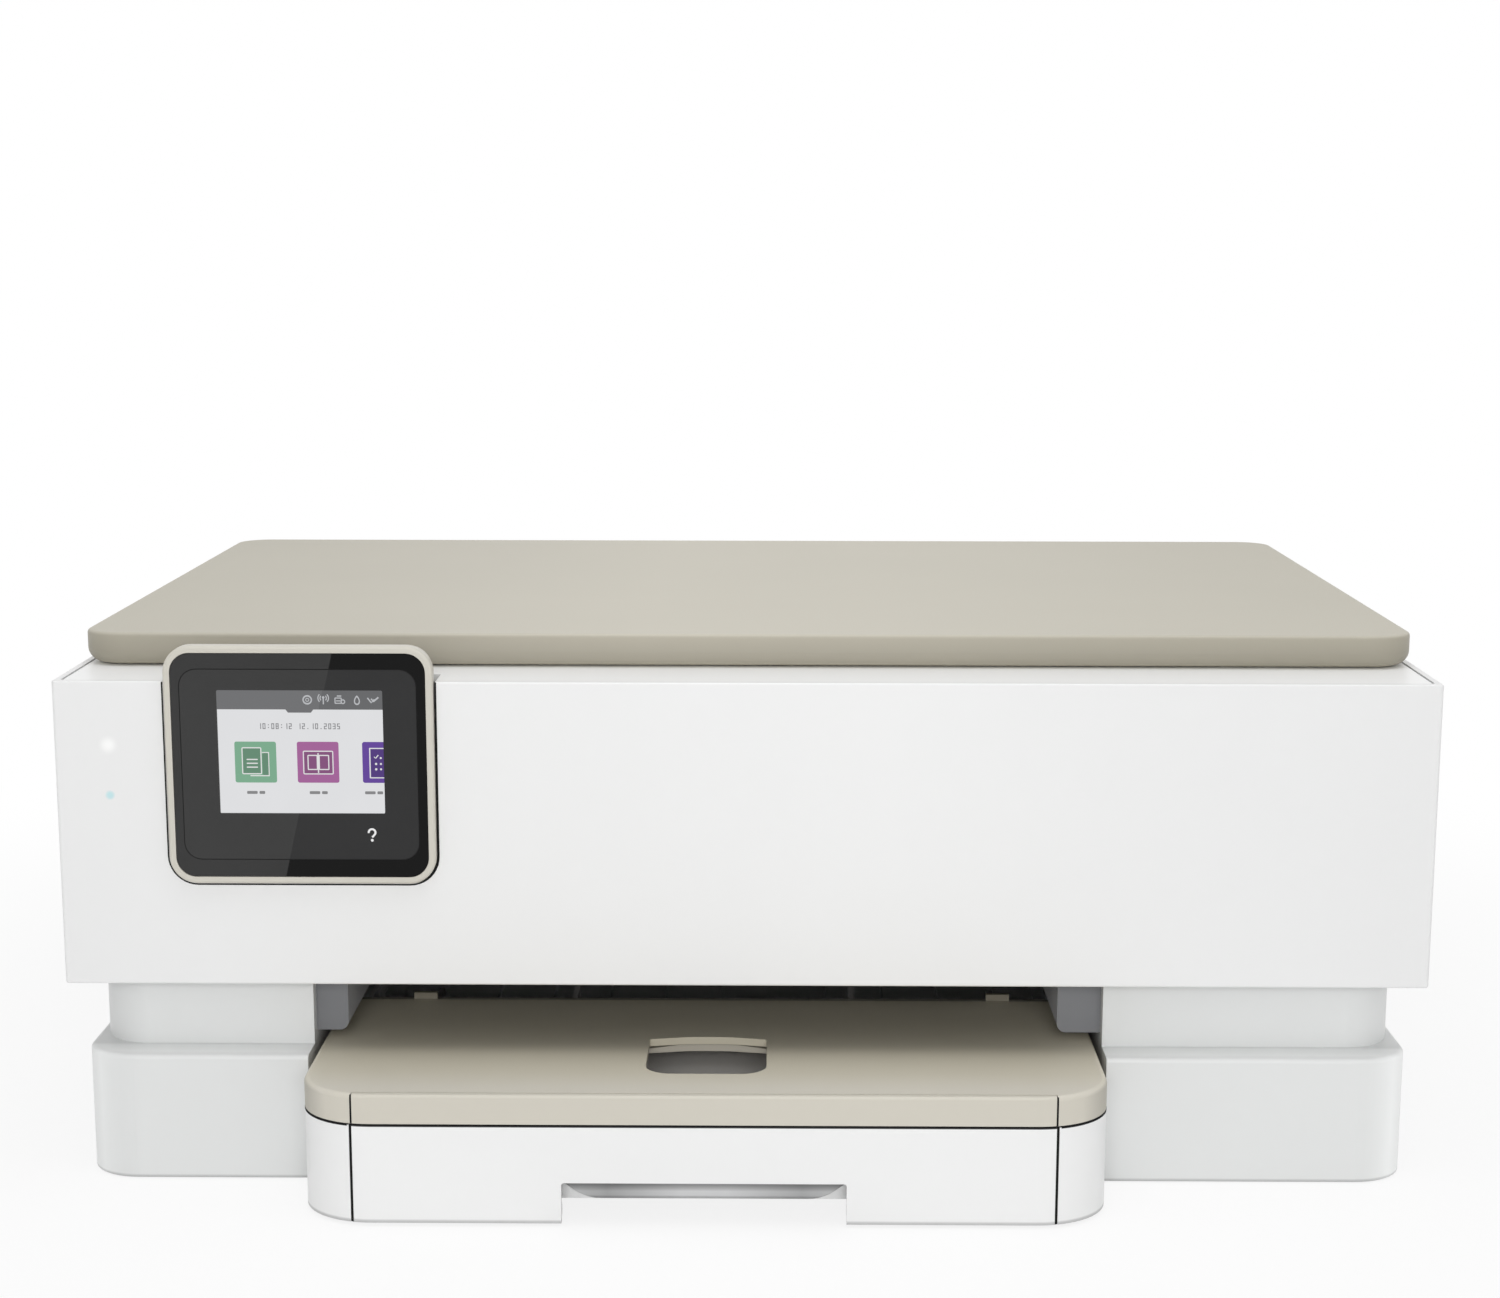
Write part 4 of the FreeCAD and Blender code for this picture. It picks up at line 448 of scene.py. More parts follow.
# the solids keep their own shapes and take these finishes
dressing = (
    (panelWhite, ["upper_shell"]),
    (topWhite, ["scanner_top"]),
    (baseShadedWhite, ["base_shell", "rear_door"]),
    (trayWhite, ["paper_tray"]),
    (flapWhite, ["tray_flap"]),
    (lidBeige, ["lid_shell"]),
    (trimBeige, ["control_bezel"]),
    (coverBeige, ["output_cover"]),
    (extenderBeige, ["output_extender"]),
    (guideGrey, ["output_guide_left", "output_guide_right"]),
    (hingeGrey, ["panel_cradle", "lid_hinges"]),
    (pullGrey, ["tray_pull"]),
    (buttonGrey, ["power_button"]),
    (photoGrey, ["photo_tray"]),
    (wellGrey, ["width_guide_left", "width_guide_right"]),
    (panGrey, ["bottom_pan", "cap_sled"]),
    (engineBlack, ["chassis_frame", "platen", "service_station", "print_carriage", "pick_arm", "power_supply",
                   "scanner_tub", "scan_carriage"]),
    (caseBlack, ["cartridge_black", "power_inlet"]),
    (caseBlue, ["cartridge_colour"]),
    (latchGrey, ["latch_colour", "latch_black"]),
    (gearCream, ["motor_pulley", "idler_pulley", "motor_pinion", "feed_gear", "idler_gear", "exit_gear",
                 "guide_pinion"]),
    (padWhite, ["lid_pad"]),
    (footRubber, ["rubber_feet"]),
    (motorSteel, ["carriage_motor", "feed_motor", "base_screws"]),
    (shaftSteel, ["feed_shaft", "exit_shaft", "scan_rod"]),
    (railZinc, ["carriage_rail", "data_socket"]),
    (beltRubber, ["drive_belt"]),
    (tyreRubber, ["feed_tyres", "exit_tyres", "pick_roller"]),
    (bedGlass, ["scanner_glass"]),
    (boardGreen, ["main_board"]),
    (outerSheenGlass, ["control_glass"]),
    (pageLit, ["control_screen"]),
    (lensMilk, ["status_lights"]),
)
for finish, names in dressing:
    for name in names:
        nodes[name].data.materials.clear()
        nodes[name].data.materials.append(finish)
bare = [name for name in nodes if not any(name in names for finish, names in dressing)]
print("solids dressed, left bare:", bare)


# outlines and thin plates for what lies on the surfaces
def roundedOutline(x0, x1, z0, z1, radius, steps=6):
    corners = ((x1 - radius, z1 - radius, 0), (x0 + radius, z1 - radius, 90),
               (x0 + radius, z0 + radius, 180), (x1 - radius, z0 + radius, 270))
    points = []
    for cx, cz, start in corners:
        for i in range(steps + 1):
            angle = math.radians(start + 90.0 * i / steps)
            points.append((cx + radius * math.cos(angle), cz + radius * math.sin(angle)))
    return points


def roundOutline(cx, cz, radius, steps=24, tall=1.0):
    turns = [2 * math.pi * i / steps for i in range(steps)]
    return [(cx + radius * math.cos(t), cz + radius * tall * math.sin(t)) for t in turns]


def strokeOutline(points, width):
    # a ribbon of even width along an open line
    left, right = [], []
    for i, (x, z) in enumerate(points):
        ax, az = points[max(i - 1, 0)]
        bx, bz = points[min(i + 1, len(points) - 1)]
        size = math.hypot(bx - ax, bz - az)
        nx, nz = -(bz - az) / size * width / 2, (bx - ax) / size * width / 2
        left.append((x + nx, z + nz))
        right.append((x - nx, z - nz))
    return left + right[::-1]


def turnsTo(degrees, steps):
    return [math.radians(degrees * i / steps) for i in range(steps + 1)]


def uprightPlate(bm, outline, front, back, hole=()):
    levels, holeLevels = [[[bm.verts.new((x, depth, z)) for x, z in line] for depth in (front, back)]
                          for line in (outline, hole)]
    stackedWalls(bm, levels, holeLevels if hole else None)


def lyingPlate(bm, outline, low, high):
    stackedWalls(bm, [[bm.verts.new((x, y, level)) for x, y in outline] for level in (low, high)])


def bandBetween(bm, first, second):
    count = len(first)
    for i in range(count):
        j = (i + 1) % count
        bm.faces.new((first[i], first[j], second[j], second[i]))


def stackedWalls(bm, levels, holeLevels=None):
    for below, above in zip(levels, levels[1:]):
        bandBetween(bm, below, above)
    if holeLevels is None:
        bm.faces.new(levels[0])
        bm.faces.new(levels[-1][::-1])
        return
    bandBetween(bm, levels[0], holeLevels[0])
    bandBetween(bm, levels[-1], holeLevels[-1])
    bandBetween(bm, holeLevels[0], holeLevels[-1])


def makePiece(name, body, finish, bm):
    bmesh.ops.recalc_face_normals(bm, faces=bm.faces)
    mesh = bpy.data.meshes.new(name)
    bm.to_mesh(mesh)
    bm.free()
    mesh.materials.append(finish)
    piece = bpy.data.objects.new(name, mesh)
    bpy.context.scene.collection.objects.link(piece)
    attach(piece, body)
    return piece


# the raised inner field of the control glass, open round the display, with its own painted reflection, and
# the groove that rings it
glassLow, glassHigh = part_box("control_glass")
screenLow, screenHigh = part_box("control_screen")
screenFlange = {"side": 3.0 * mm, "bottom": 4.0 * mm, "top": 3.0 * mm}  # hidden behind the glass
windowLeft, windowRight = screenLow.x + screenFlange["side"], screenHigh.x - screenFlange["side"]
windowBottom, windowTop = screenLow.z + screenFlange["bottom"], screenHigh.z - screenFlange["top"]
innerField = {"left": 3.0 * mm, "right": 3.1 * mm, "top": 5.4 * mm, "bottom": 6.0 * mm, "radius": 5.6 * mm,
              "proud": 0.06 * mm, "sink": 0.03 * mm, "window": 0.5 * mm, "groove": 0.3 * mm,
              "grooveProud": 0.02 * mm, "steps": 8}
fieldFront, fieldBack = glassLow.y - innerField["proud"], glassLow.y + innerField["sink"]


def fieldOutline(grow):
    return roundedOutline(glassLow.x + innerField["left"] - grow, glassHigh.x - innerField["right"] + grow,
                          glassLow.z + innerField["bottom"] - grow, glassHigh.z - innerField["top"] + grow,
                          innerField["radius"] + grow, innerField["steps"])


bm = bmesh.new()
uprightPlate(bm, fieldOutline(0.0), fieldFront, fieldBack,
             roundedOutline(windowLeft, windowRight, windowBottom, windowTop, innerField["window"],
                            innerField["steps"]))
makePiece("controlField", "control_panel", innerSheenGlass, bm)
bm = bmesh.new()
uprightPlate(bm, fieldOutline(innerField["groove"]), glassLow.y - innerField["grooveProud"], fieldBack,
             fieldOutline(0.0))
makePiece("fieldGroove", "control_panel", seamShadeBlack, bm)


# what the display shows, in millimetres from its top left corner
screenWide = (windowRight - windowLeft) / mm
shownLift = {"plate": 0.02, "inset": 0.03, "mark": 0.04, "motif": 0.05, "sink": 0.02}


def shownOutline(points):
    return [(windowLeft + u * mm, windowTop - v * mm) for u, v in points]


def shownPiece(name, tone, outlines, lift, rings=()):
    bm = bmesh.new()
    front, back = screenLow.y - shownLift[lift] * mm, screenLow.y + shownLift["sink"] * mm
    for outline in outlines:
        uprightPlate(bm, shownOutline(outline), front, back)
    for outer, inner in rings:
        uprightPlate(bm, shownOutline(outer), front, back, shownOutline(inner))
    makePiece(name, "control_panel", litDisplay(name + "Lit", tone), bm)


def ringOf(cu, cv, radius, line):
    # the hole is a little flatter than the ring
    steps, flatter = 20, 1.0 - line * 0.2
    return roundOutline(cu, cv, radius, steps), roundOutline(cu, cv, radius - line, steps, flatter)


def boxRing(u0, u1, v0, v1, radius, line):
    steps, least = 4, 0.05
    return (roundedOutline(u0, u1, v0, v1, radius, steps),
            roundedOutline(u0 + line, u1 - line, v0 + line, v1 - line, max(radius - line, least), steps))


def bar(u0, u1, v0, v1):
    share, steps = 0.3, 3
    return roundedOutline(u0, u1, v0, v1, min(u1 - u0, v1 - v0) * share, steps)


def arcOf(cu, cv, radius, start, stop, line):
    steps = 8
    turns = [math.radians(start + (stop - start) * i / steps) for i in range(steps + 1)]
    return strokeOutline([(cu + radius * math.cos(t), cv + radius * math.sin(t)) for t in turns], line)


# painted reflection on the display's header: paler left of the slanted sheen edge, darker right of it
header = {"depth": 6.4, "tabLeft": 22.7, "tabRight": 31.9, "tabDrop": 1.05, "tabSlant": 0.8, "sheenTop": 35.0,
          "sheenLow": 33.6, "tone": (0.144, 0.146, 0.151), "shade": (0.118, 0.120, 0.124)}
headerLow, tabLow = header["depth"], header["depth"] + header["tabDrop"]
shownPiece("displayHeader", header["tone"], [[
    (0.0, 0.0), (header["sheenTop"], 0.0), (header["sheenLow"], headerLow), (header["tabRight"], headerLow),
    (header["tabRight"] - header["tabSlant"], tabLow), (header["tabLeft"] + header["tabSlant"], tabLow),
    (header["tabLeft"], headerLow), (0.0, headerLow)]], "plate")
shownPiece("displayHeaderShade", header["shade"], [[
    (header["sheenTop"], 0.0), (screenWide, 0.0), (screenWide, headerLow),
    (header["sheenLow"], headerLow)]], "plate")

# plain marks on the header: wheel, mast with waves, printer, drop and double tick
glyphs = {"row": 3.15, "line": 0.34, "wheel": 30.0, "mast": 35.3, "printer": 40.7, "drop": 46.4, "tick": 51.7,
          "tone": (0.47, 0.48, 0.50)}
row, line = glyphs["row"], glyphs["line"]
wheel, mast, printer, drop, tick = [glyphs[mark] for mark in ("wheel", "mast", "printer", "drop", "tick")]
dropShape = [(drop + 1.2 * math.sin(t) * (0.3 + 0.7 * math.sin(t / 2)), row + 0.1 - 1.6 * math.cos(t))
             for t in turnsTo(360.0, 24)[:-1]]
dropHollow = [(drop + (u - drop) * 0.62, row + 0.3 + (v - row - 0.3) * 0.66) for u, v in dropShape]
waves = [arcOf(mast, row - 0.6, radius, start, start + 90, line)
         for radius in (1.05, 1.75) for start in (-45, 135)]
shownPiece("displayGlyphs", glyphs["tone"],
           [bar(mast - 0.2, mast + 0.2, row - 0.6, row + 1.5), roundOutline(mast, row - 0.8, 0.42, 14),
            *waves, bar(printer - 0.9, printer + 0.6, row - 1.5, row - 1.1),
            bar(printer - 1.2, printer + 0.2, row + 0.15, row + 0.5),
            strokeOutline([(tick - 1.8, row - 0.7), (tick - 0.6, row + 0.9), (tick + 0.5, row - 0.2)], 0.45),
            strokeOutline([(tick - 0.6, row - 0.4), (tick + 0.2, row + 0.5), (tick + 1.8, row - 0.9)], 0.55)],
           "mark",
           [ringOf(wheel, row, 1.6, line + 0.1), ringOf(wheel, row, 0.65, 0.25),
            boxRing(printer - 1.7, printer + 0.7, row - 0.8, row + 1.3, 0.3, line),
            ringOf(printer + 1.05, row + 0.6, 0.8, line), (dropShape, dropHollow)])

# clock and date digits, each built from seven short bars
clock = {"figures": "10:08:12 12.10.2035", "left": 13.5, "middle": 12.0, "wide": 0.98, "tall": 1.95,
         "step": 1.45, "line": 0.3, "dot": 0.2, "dotIn": 0.5, "dotApart": 0.45, "dotSteps": 10,
         "tone": (0.24, 0.24, 0.25)}
segments = {"0": "abcdef", "1": "bc", "2": "abged", "3": "abgcd", "5": "afgcd", "8": "abcdefg"}


def digitBars(figure, u):
    half, mid, thin = clock["tall"] / 2, clock["middle"], clock["line"]
    right = u + clock["wide"]
    placed = {
        "a": bar(u, right, mid - half, mid - half + thin), "d": bar(u, right, mid + half - thin, mid + half),
        "g": bar(u, right, mid - thin / 2, mid + thin / 2),
        "b": bar(right - thin, right, mid - half, mid), "c": bar(right - thin, right, mid, mid + half),
        "f": bar(u, u + thin, mid - half, mid), "e": bar(u, u + thin, mid, mid + half)}
    return [placed[part] for part in segments[figure]]


dotRows = {":": (-clock["dotApart"], clock["dotApart"]), ".": (clock["tall"] / 2 - clock["dot"],), " ": ()}
clockBars = []
for i, figure in enumerate(clock["figures"]):
    u = clock["left"] + i * clock["step"]
    if figure in segments:
        clockBars += digitBars(figure, u)
    else:
        for rise in dotRows[figure]:
            clockBars.append(roundOutline(u + clock["dotIn"], clock["middle"] + rise, clock["dot"],
                                          clock["dotSteps"]))
shownPiece("displayClock", clock["tone"], clockBars, "plate")

# three tiles, the last one cut off by the edge of the display
tiles = {"top": 17.2, "bottom": 31.0, "radius": 0.7, "cut": 0.5, "lefts": (5.4, 26.1, 47.7), "wide": 13.8,
         "fieldTone": 0.62, "captionTop": 33.85, "captionLow": 34.85, "captionLefts": (9.1, 29.9, 48.3),
         "captions": ((0.0, 3.5), (4.1, 6.0)), "captionTone": (0.22, 0.22, 0.225)}
tileTones = {"Green": (0.185, 0.385, 0.250), "Magenta": (0.345, 0.110, 0.295),
             "Purple": (0.110, 0.045, 0.300)}
tileTop, tileLow, lastLeft, cut = tiles["top"], tiles["bottom"], tiles["lefts"][2], tiles["cut"]
tileOutlines = [roundedOutline(left, left + tiles["wide"], tileTop, tileLow, tiles["radius"])
                for left in tiles["lefts"][:2]]
tileOutlines.append([(lastLeft, tileTop + cut), (lastLeft + cut, tileTop), (screenWide, tileTop),
                     (screenWide, tileLow), (lastLeft + cut, tileLow), (lastLeft, tileLow - cut)])
tileFields = ([roundedOutline(7.9, 14.1, 19.3, 28.0, 0.4), bar(14.5, 16.6, 21.0, 28.6)],
              [roundedOutline(28.2, 37.9, 20.4, 28.0, 0.4)],
              [[(50.2, 19.4), (screenWide, 19.4), (screenWide, 29.3), (50.2, 29.3)]])
for (name, tone), outline, fields in zip(tileTones.items(), tileOutlines, tileFields):
    shownPiece("displayTile" + name, tone, [outline], "plate")
    shownPiece("displayField" + name, tinted(tone, tiles["fieldTone"]), fields, "inset")

# the tiles' motifs: two pages, an open scanner and a list
motifs = {
    "tone": (0.72, 0.72, 0.72), "line": 0.36, "dotSteps": 12, "tickLine": 0.35,
    "tick": ((51.6, 22.2), (52.1, 22.7), (53.0, 21.6)),
    "bars": ((9.3, 13.0, 23.0, 23.4), (9.3, 13.0, 24.3, 24.7), (9.3, 13.0, 25.6, 26.0),
             (14.4, 16.6, 20.7, 21.0), (16.5, 16.8, 20.7, 28.8), (10.4, 16.8, 28.5, 28.85),
             (32.85, 33.25, 21.0, 27.7), (50.0, screenWide, 19.2, 19.55), (50.0, screenWide, 29.1, 29.45),
             (50.0, 50.4, 19.2, 29.45)),
    "dots": ((52.2, 24.6, 0.4), (52.2, 26.4, 0.4), (53.8, 22.6, 0.35), (53.8, 24.6, 0.35),
             (53.8, 26.4, 0.35)),
    "frames": ((7.7, 14.3, 19.1, 28.2, 0.5), (28.0, 38.1, 20.2, 28.2, 0.5), (29.5, 32.9, 21.6, 26.7, 0.3),
               (33.2, 36.7, 21.6, 26.7, 0.3))}
shownPiece("displayMotifs", motifs["tone"],
           [*[bar(*place) for place in motifs["bars"]], strokeOutline(motifs["tick"], motifs["tickLine"]),
            *[roundOutline(*place, motifs["dotSteps"]) for place in motifs["dots"]]],
           "motif", [boxRing(*place, motifs["line"]) for place in motifs["frames"]])
shownPiece("displayCaptions", tiles["captionTone"],
           [bar(left + start, left + stop, tiles["captionTop"], tiles["captionLow"])
            for left in tiles["captionLefts"] for start, stop in tiles["captions"]], "plate")
print("display drawn")

# the touch key below the display
helpKey = {"fromLeft": 50.3, "below": 48.7, "radius": 1.12, "line": 0.66, "start": 190.0, "turn": 12.5,
           "steps": 20, "rise": 0.9, "stem": 0.75, "dotDrop": 1.75, "dot": 0.48, "dotSteps": 16,
           "proud": 0.03 * mm, "sink": 0.02 * mm, "tone": (0.80, 0.80, 0.80)}
hookTurns = [math.radians(helpKey["start"] - helpKey["turn"] * i) for i in range(helpKey["steps"])]
hook = [(helpKey["fromLeft"] + helpKey["radius"] * math.cos(t),
         helpKey["below"] - helpKey["rise"] - helpKey["radius"] * math.sin(t)) for t in hookTurns]
hook.append((helpKey["fromLeft"], helpKey["below"] + helpKey["stem"]))
hookDot = roundOutline(helpKey["fromLeft"], helpKey["below"] + helpKey["dotDrop"], helpKey["dot"],
                       helpKey["dotSteps"])
bm = bmesh.new()
for outline in (strokeOutline(hook, helpKey["line"]), hookDot):
    uprightPlate(bm, shownOutline(outline), fieldFront - helpKey["proud"], fieldFront + helpKey["sink"])
makePiece("helpKey", "control_panel", litDisplay("helpKeyLit", helpKey["tone"]), bm)


# painted shadow: dark strips that stand for the shade in the gaps round the control panel, round the front
# flap, beside the lip and over the tray's corners
bezelLow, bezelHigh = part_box("control_bezel")
panelLow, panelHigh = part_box("upper_shell")
# painted shadow: a dark ribbon on the panel round the control panel's pocket, for the shade in its gap
bezelGapShade = {"pins": 2.6 * mm, "out": 0.78 * mm, "shift": 0.14 * mm, "wide": 0.5 * mm, "corner": 9.0 * mm,
            "proud": 0.06 * mm, "deep": 0.5 * mm, "stop": 0.2 * mm, "steps": 10}
gapLeft = bezelLow.x + bezelGapShade["pins"] - bezelGapShade["out"] - bezelGapShade["shift"]
gapRight = bezelHigh.x - bezelGapShade["pins"] + bezelGapShade["out"] - bezelGapShade["shift"]
gapLow, gapTop = bezelLow.z - bezelGapShade["out"] - bezelGapShade["shift"], panelHigh.z - bezelGapShade["stop"]
gapTurn = bezelGapShade["corner"] + bezelGapShade["out"]
gapTurns = turnsTo(90.0, bezelGapShade["steps"])
gapPath = [(gapLeft, gapTop)]
gapPath += [(gapLeft + gapTurn * (1 - math.cos(t)), gapLow + gapTurn * (1 - math.sin(t))) for t in gapTurns]
gapPath += [(gapRight - gapTurn * (1 - math.sin(t)), gapLow + gapTurn * (1 - math.cos(t))) for t in gapTurns]
gapPath += [(gapRight, gapTop)]
bm = bmesh.new()
uprightPlate(bm, strokeOutline(gapPath, bezelGapShade["wide"]), panelLow.y - bezelGapShade["proud"],
             panelLow.y + bezelGapShade["deep"])
makePiece("bezelGapShade", "scanner_unit", seamShadeBlack, bm)

# the tray's front: flat in the middle, round at both ends
flapLow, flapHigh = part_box("tray_flap")
trayLow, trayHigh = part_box("paper_tray")
lipLow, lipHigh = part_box("output_extender")
trayFace = {"turn": 24.5 * mm, "pins": 2.2 * mm, "proud": 0.05 * mm, "lipBottom": flapHigh.z + 0.65 * mm,
            "coverTop": lipHigh.z + 0.1 * mm, "coverRound": 1.8 * mm}
flapLeft, flapRight = flapLow.x + trayFace["pins"], flapHigh.x - trayFace["pins"]


def trayFront(x):
    past = max(trayLow.x + trayFace["turn"] - x, x - trayHigh.x + trayFace["turn"], 0.0)
    return flapLow.y + trayFace["turn"] - math.sqrt(trayFace["turn"] ** 2 - past ** 2)


def seamShadeStrip(bm, inner, outer, levels, deep):
    # an upright strip of painted shadow just proud of the front; each level has a height and a setback
    rows = []
    for level, setback in levels:
        front = [(x, trayFront(x) - trayFace["proud"] + setback) for x in (inner, outer)]
        back = [(x, trayFront(x) + deep) for x in (outer, inner)]
        rows.append([bm.verts.new((x, y, level)) for x, y in front + back])
    stackedWalls(bm, rows)


# painted shadow: dark plates along the flap's top and its two sides, for the shade in the seams round it
flapSeamShade = {"back": 0.02 * mm, "deep": 2.4 * mm, "sideDeep": 1.4 * mm, "thick": 0.5 * mm, "over": 0.3 * mm,
            "out": 0.48 * mm, "low": 0.15 * mm, "steps": 40}
flapSpots = [flapLeft + (flapRight - flapLeft) * i / flapSeamShade["steps"] for i in range(flapSeamShade["steps"] + 1)]
bm = bmesh.new()
lyingPlate(bm, [(x, trayFront(x) + flapSeamShade["back"]) for x in flapSpots]
           + [(flapRight, flapLow.y + flapSeamShade["deep"]), (flapLeft, flapLow.y + flapSeamShade["deep"])],
           flapHigh.z - bite, flapHigh.z + flapSeamShade["thick"])
for side, edge in ((-1, flapLeft), (1, flapRight)):
    seamShadeStrip(bm, edge - side * flapSeamShade["over"], edge + side * flapSeamShade["out"],
              ((flapLow.z + flapSeamShade["low"], 0.0), (flapHigh.z, 0.0)), flapSeamShade["sideDeep"])
makePiece("flapSeamShade", "tray_flap", seamShadeBlack, bm)

# painted shadow: dark strips beside the lip, for the shade in the seams at its two ends
lipSeamShade = {"gap": 0.04 * mm, "wide": 0.62 * mm, "deep": 2.0 * mm,
           "rises": (0.0, 0.6 * mm, 1.1 * mm, 1.45 * mm)}
lipLevels = [(trayFace["lipBottom"], 0.0)]
for rise in lipSeamShade["rises"]:
    lipLevels.append((trayFace["coverTop"] - trayFace["coverRound"] + rise,
                      trayFace["coverRound"] - math.sqrt(trayFace["coverRound"] ** 2 - rise ** 2)))
bm = bmesh.new()
for side, edge in ((-1, lipLow.x), (1, lipHigh.x)):
    inner = edge + side * lipSeamShade["gap"]
    seamShadeStrip(bm, inner, inner + side * lipSeamShade["wide"], lipLevels, lipSeamShade["deep"])
makePiece("lipSeamShade", "paper_tray", seamShadeBlack, bm)

# painted shadow: dark ribbons over the tray's round corners, for the shade in the seam below the cover
cornerSeamShade = {"proud": 0.06 * mm, "wide": 2.0 * mm, "back": 12.0 * mm, "stop": 0.9 * mm, "drop": 0.3 * mm,
              "steps": 12}
seamShadeTurn = trayFace["turn"] + cornerSeamShade["proud"] - cornerSeamShade["wide"] / 2
bm = bmesh.new()
for side, outer, stop in ((-1, trayLow.x, flapLeft), (1, trayHigh.x, flapRight)):
    centreX, centreY = outer - side * trayFace["turn"], flapLow.y + trayFace["turn"]
    last = math.acos(abs(stop + side * cornerSeamShade["stop"] - centreX) / seamShadeTurn)
    path = [(centreX + side * seamShadeTurn, centreY + cornerSeamShade["back"])]
    for turn in turnsTo(math.degrees(last), cornerSeamShade["steps"]):
        path.append((centreX + side * seamShadeTurn * math.cos(turn), centreY - seamShadeTurn * math.sin(turn)))
    lyingPlate(bm, strokeOutline(path, cornerSeamShade["wide"]), flapHigh.z - cornerSeamShade["drop"],
               flapHigh.z + flapSeamShade["thick"])
makePiece("cornerSeamShade", "paper_tray", seamShadeBlack, bm)
print("seams drawn")


# the soft white sheet under the lid
padLow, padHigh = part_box("lid_pad")
padSheet = {"corner": 5.0 * mm, "edge": 1.4 * mm, "fill": 0.95, "turns": 4, "steps": 8}
bm = bmesh.new()
padLevels = []
for turn in turnsTo(90.0, padSheet["turns"]):
    inset = padSheet["edge"] * (1 - math.sin(turn))
    level = padLow.z + padSheet["edge"] * (1 - math.cos(turn))
    outline = roundedOutline(padLow.x + inset, padHigh.x - inset, padLow.y + inset, padHigh.y - inset,
                             padSheet["corner"] - inset, padSheet["steps"])
    padLevels.append([bm.verts.new((x, y, level)) for x, y in outline])
padLevels.append([bm.verts.new((v.co.x, v.co.y, padHigh.z)) for v in padLevels[-1]])
stackedWalls(bm, padLevels)
lidPadSheet = makePiece("lidPadSheet", "lid", padWhite, bm)
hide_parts("lid_pad")


# colour bands on the two ink cases
inkBand = {"front": 3.5 * mm, "deep": 16.0 * mm, "side": 3.5 * mm, "drop": 14.0 * mm, "gap": 0.3 * mm,
           "round": 1.0 * mm, "thick": 0.18 * mm, "drift": 0.06, "roughness": (0.25, 0.4)}


def inkBands(name, case, tints):
    low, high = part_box(case)
    front, level = low.y + inkBand["front"], high.z - inkBand["drop"]
    wide = (high.x - low.x - 2 * inkBand["side"]) / len(tints)
    for i, tint in enumerate(tints):
        x0 = low.x + inkBand["side"] + i * wide
        bm = bmesh.new()
        outline = roundedOutline(x0 + inkBand["gap"], x0 + wide - inkBand["gap"], front,
                                 front + inkBand["deep"], inkBand["round"])
        lyingPlate(bm, outline, level - bite, level + inkBand["thick"])
        finish = mouldedPlastic(name + "Print" + str(i), {
            "colour": tint, "drift": inkBand["drift"], "roughness": inkBand["roughness"]})
        makePiece(name + str(i), "print_carriage", finish, bm)


inkBands("colourBand", "cartridge_colour", [(0.02, 0.30, 0.55), (0.52, 0.03, 0.22), (0.75, 0.55, 0.02)])
inkBands("blackBand", "cartridge_black", [(0.55, 0.55, 0.54), (0.06, 0.06, 0.065)])

# the lamp bar in the scanning head
headLow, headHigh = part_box("scan_carriage")
lampBar = {"half": 3.4 * mm, "endGap": 7.5 * mm, "rise": 1.3 * mm, "drop": 1.4 * mm, "steps": 12}
lampMid, lampBase = (headLow.x + headHigh.x) / 2, headHigh.z - lampBar["drop"]
lampMilk = mouldedPlastic("lampMilk", {"colour": (0.78, 0.82, 0.80), "drift": 0.03, "roughness": (0.2, 0.35)})
bm = bmesh.new()
lampEnds = []
for y in (headLow.y + lampBar["endGap"], headHigh.y - lampBar["endGap"]):
    arch = [(lampMid + lampBar["half"] * math.cos(t), lampBase + lampBar["rise"] * math.sin(t))
            for t in turnsTo(180.0, lampBar["steps"])]
    lampEnds.append([bm.verts.new((x, y, z)) for x, z in arch])
stackedWalls(bm, lampEnds)
makePiece("scanLamp", "scan_carriage", lampMilk, bm)

# a moulded arrow at the corner where a page is laid, and fine marks along the glass
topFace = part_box("scanner_top")[1].z
bedLow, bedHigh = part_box("scanner_glass")
cornerArrow = {"gap": 4.0 * mm, "size": 6.0 * mm, "slim": 0.2, "rise": 0.12 * mm}
pageMark = {"count": 29, "first": 8.0 * mm, "step": 10.0 * mm, "half": 0.2 * mm, "end": 3.6 * mm,
            "long": 3.2 * mm, "short": 1.8 * mm, "longEvery": 5, "rise": 0.08 * mm}
arrowX, arrowY = bedHigh.x + cornerArrow["gap"], bedLow.y - cornerArrow["gap"]
arrowTip, arrowSlim = cornerArrow["size"], cornerArrow["size"] * cornerArrow["slim"]
bm = bmesh.new()
lyingPlate(bm, [(arrowX, arrowY), (arrowX + arrowTip, arrowY - arrowSlim),
                (arrowX + arrowSlim, arrowY - arrowTip)], topFace - bite, topFace + cornerArrow["rise"])
for i in range(pageMark["count"]):
    reach = pageMark["short"] if i % pageMark["longEvery"] else pageMark["long"]
    x, end = bedHigh.x - pageMark["first"] - i * pageMark["step"], bedLow.y + pageMark["end"]
    left, right = x - pageMark["half"], x + pageMark["half"]
    lyingPlate(bm, [(left, end - reach), (right, end - reach), (right, end), (left, end)], topFace - bite,
               topFace + pageMark["rise"])
makePiece("pageMarks", "scanner_unit", hingeGrey, bm)


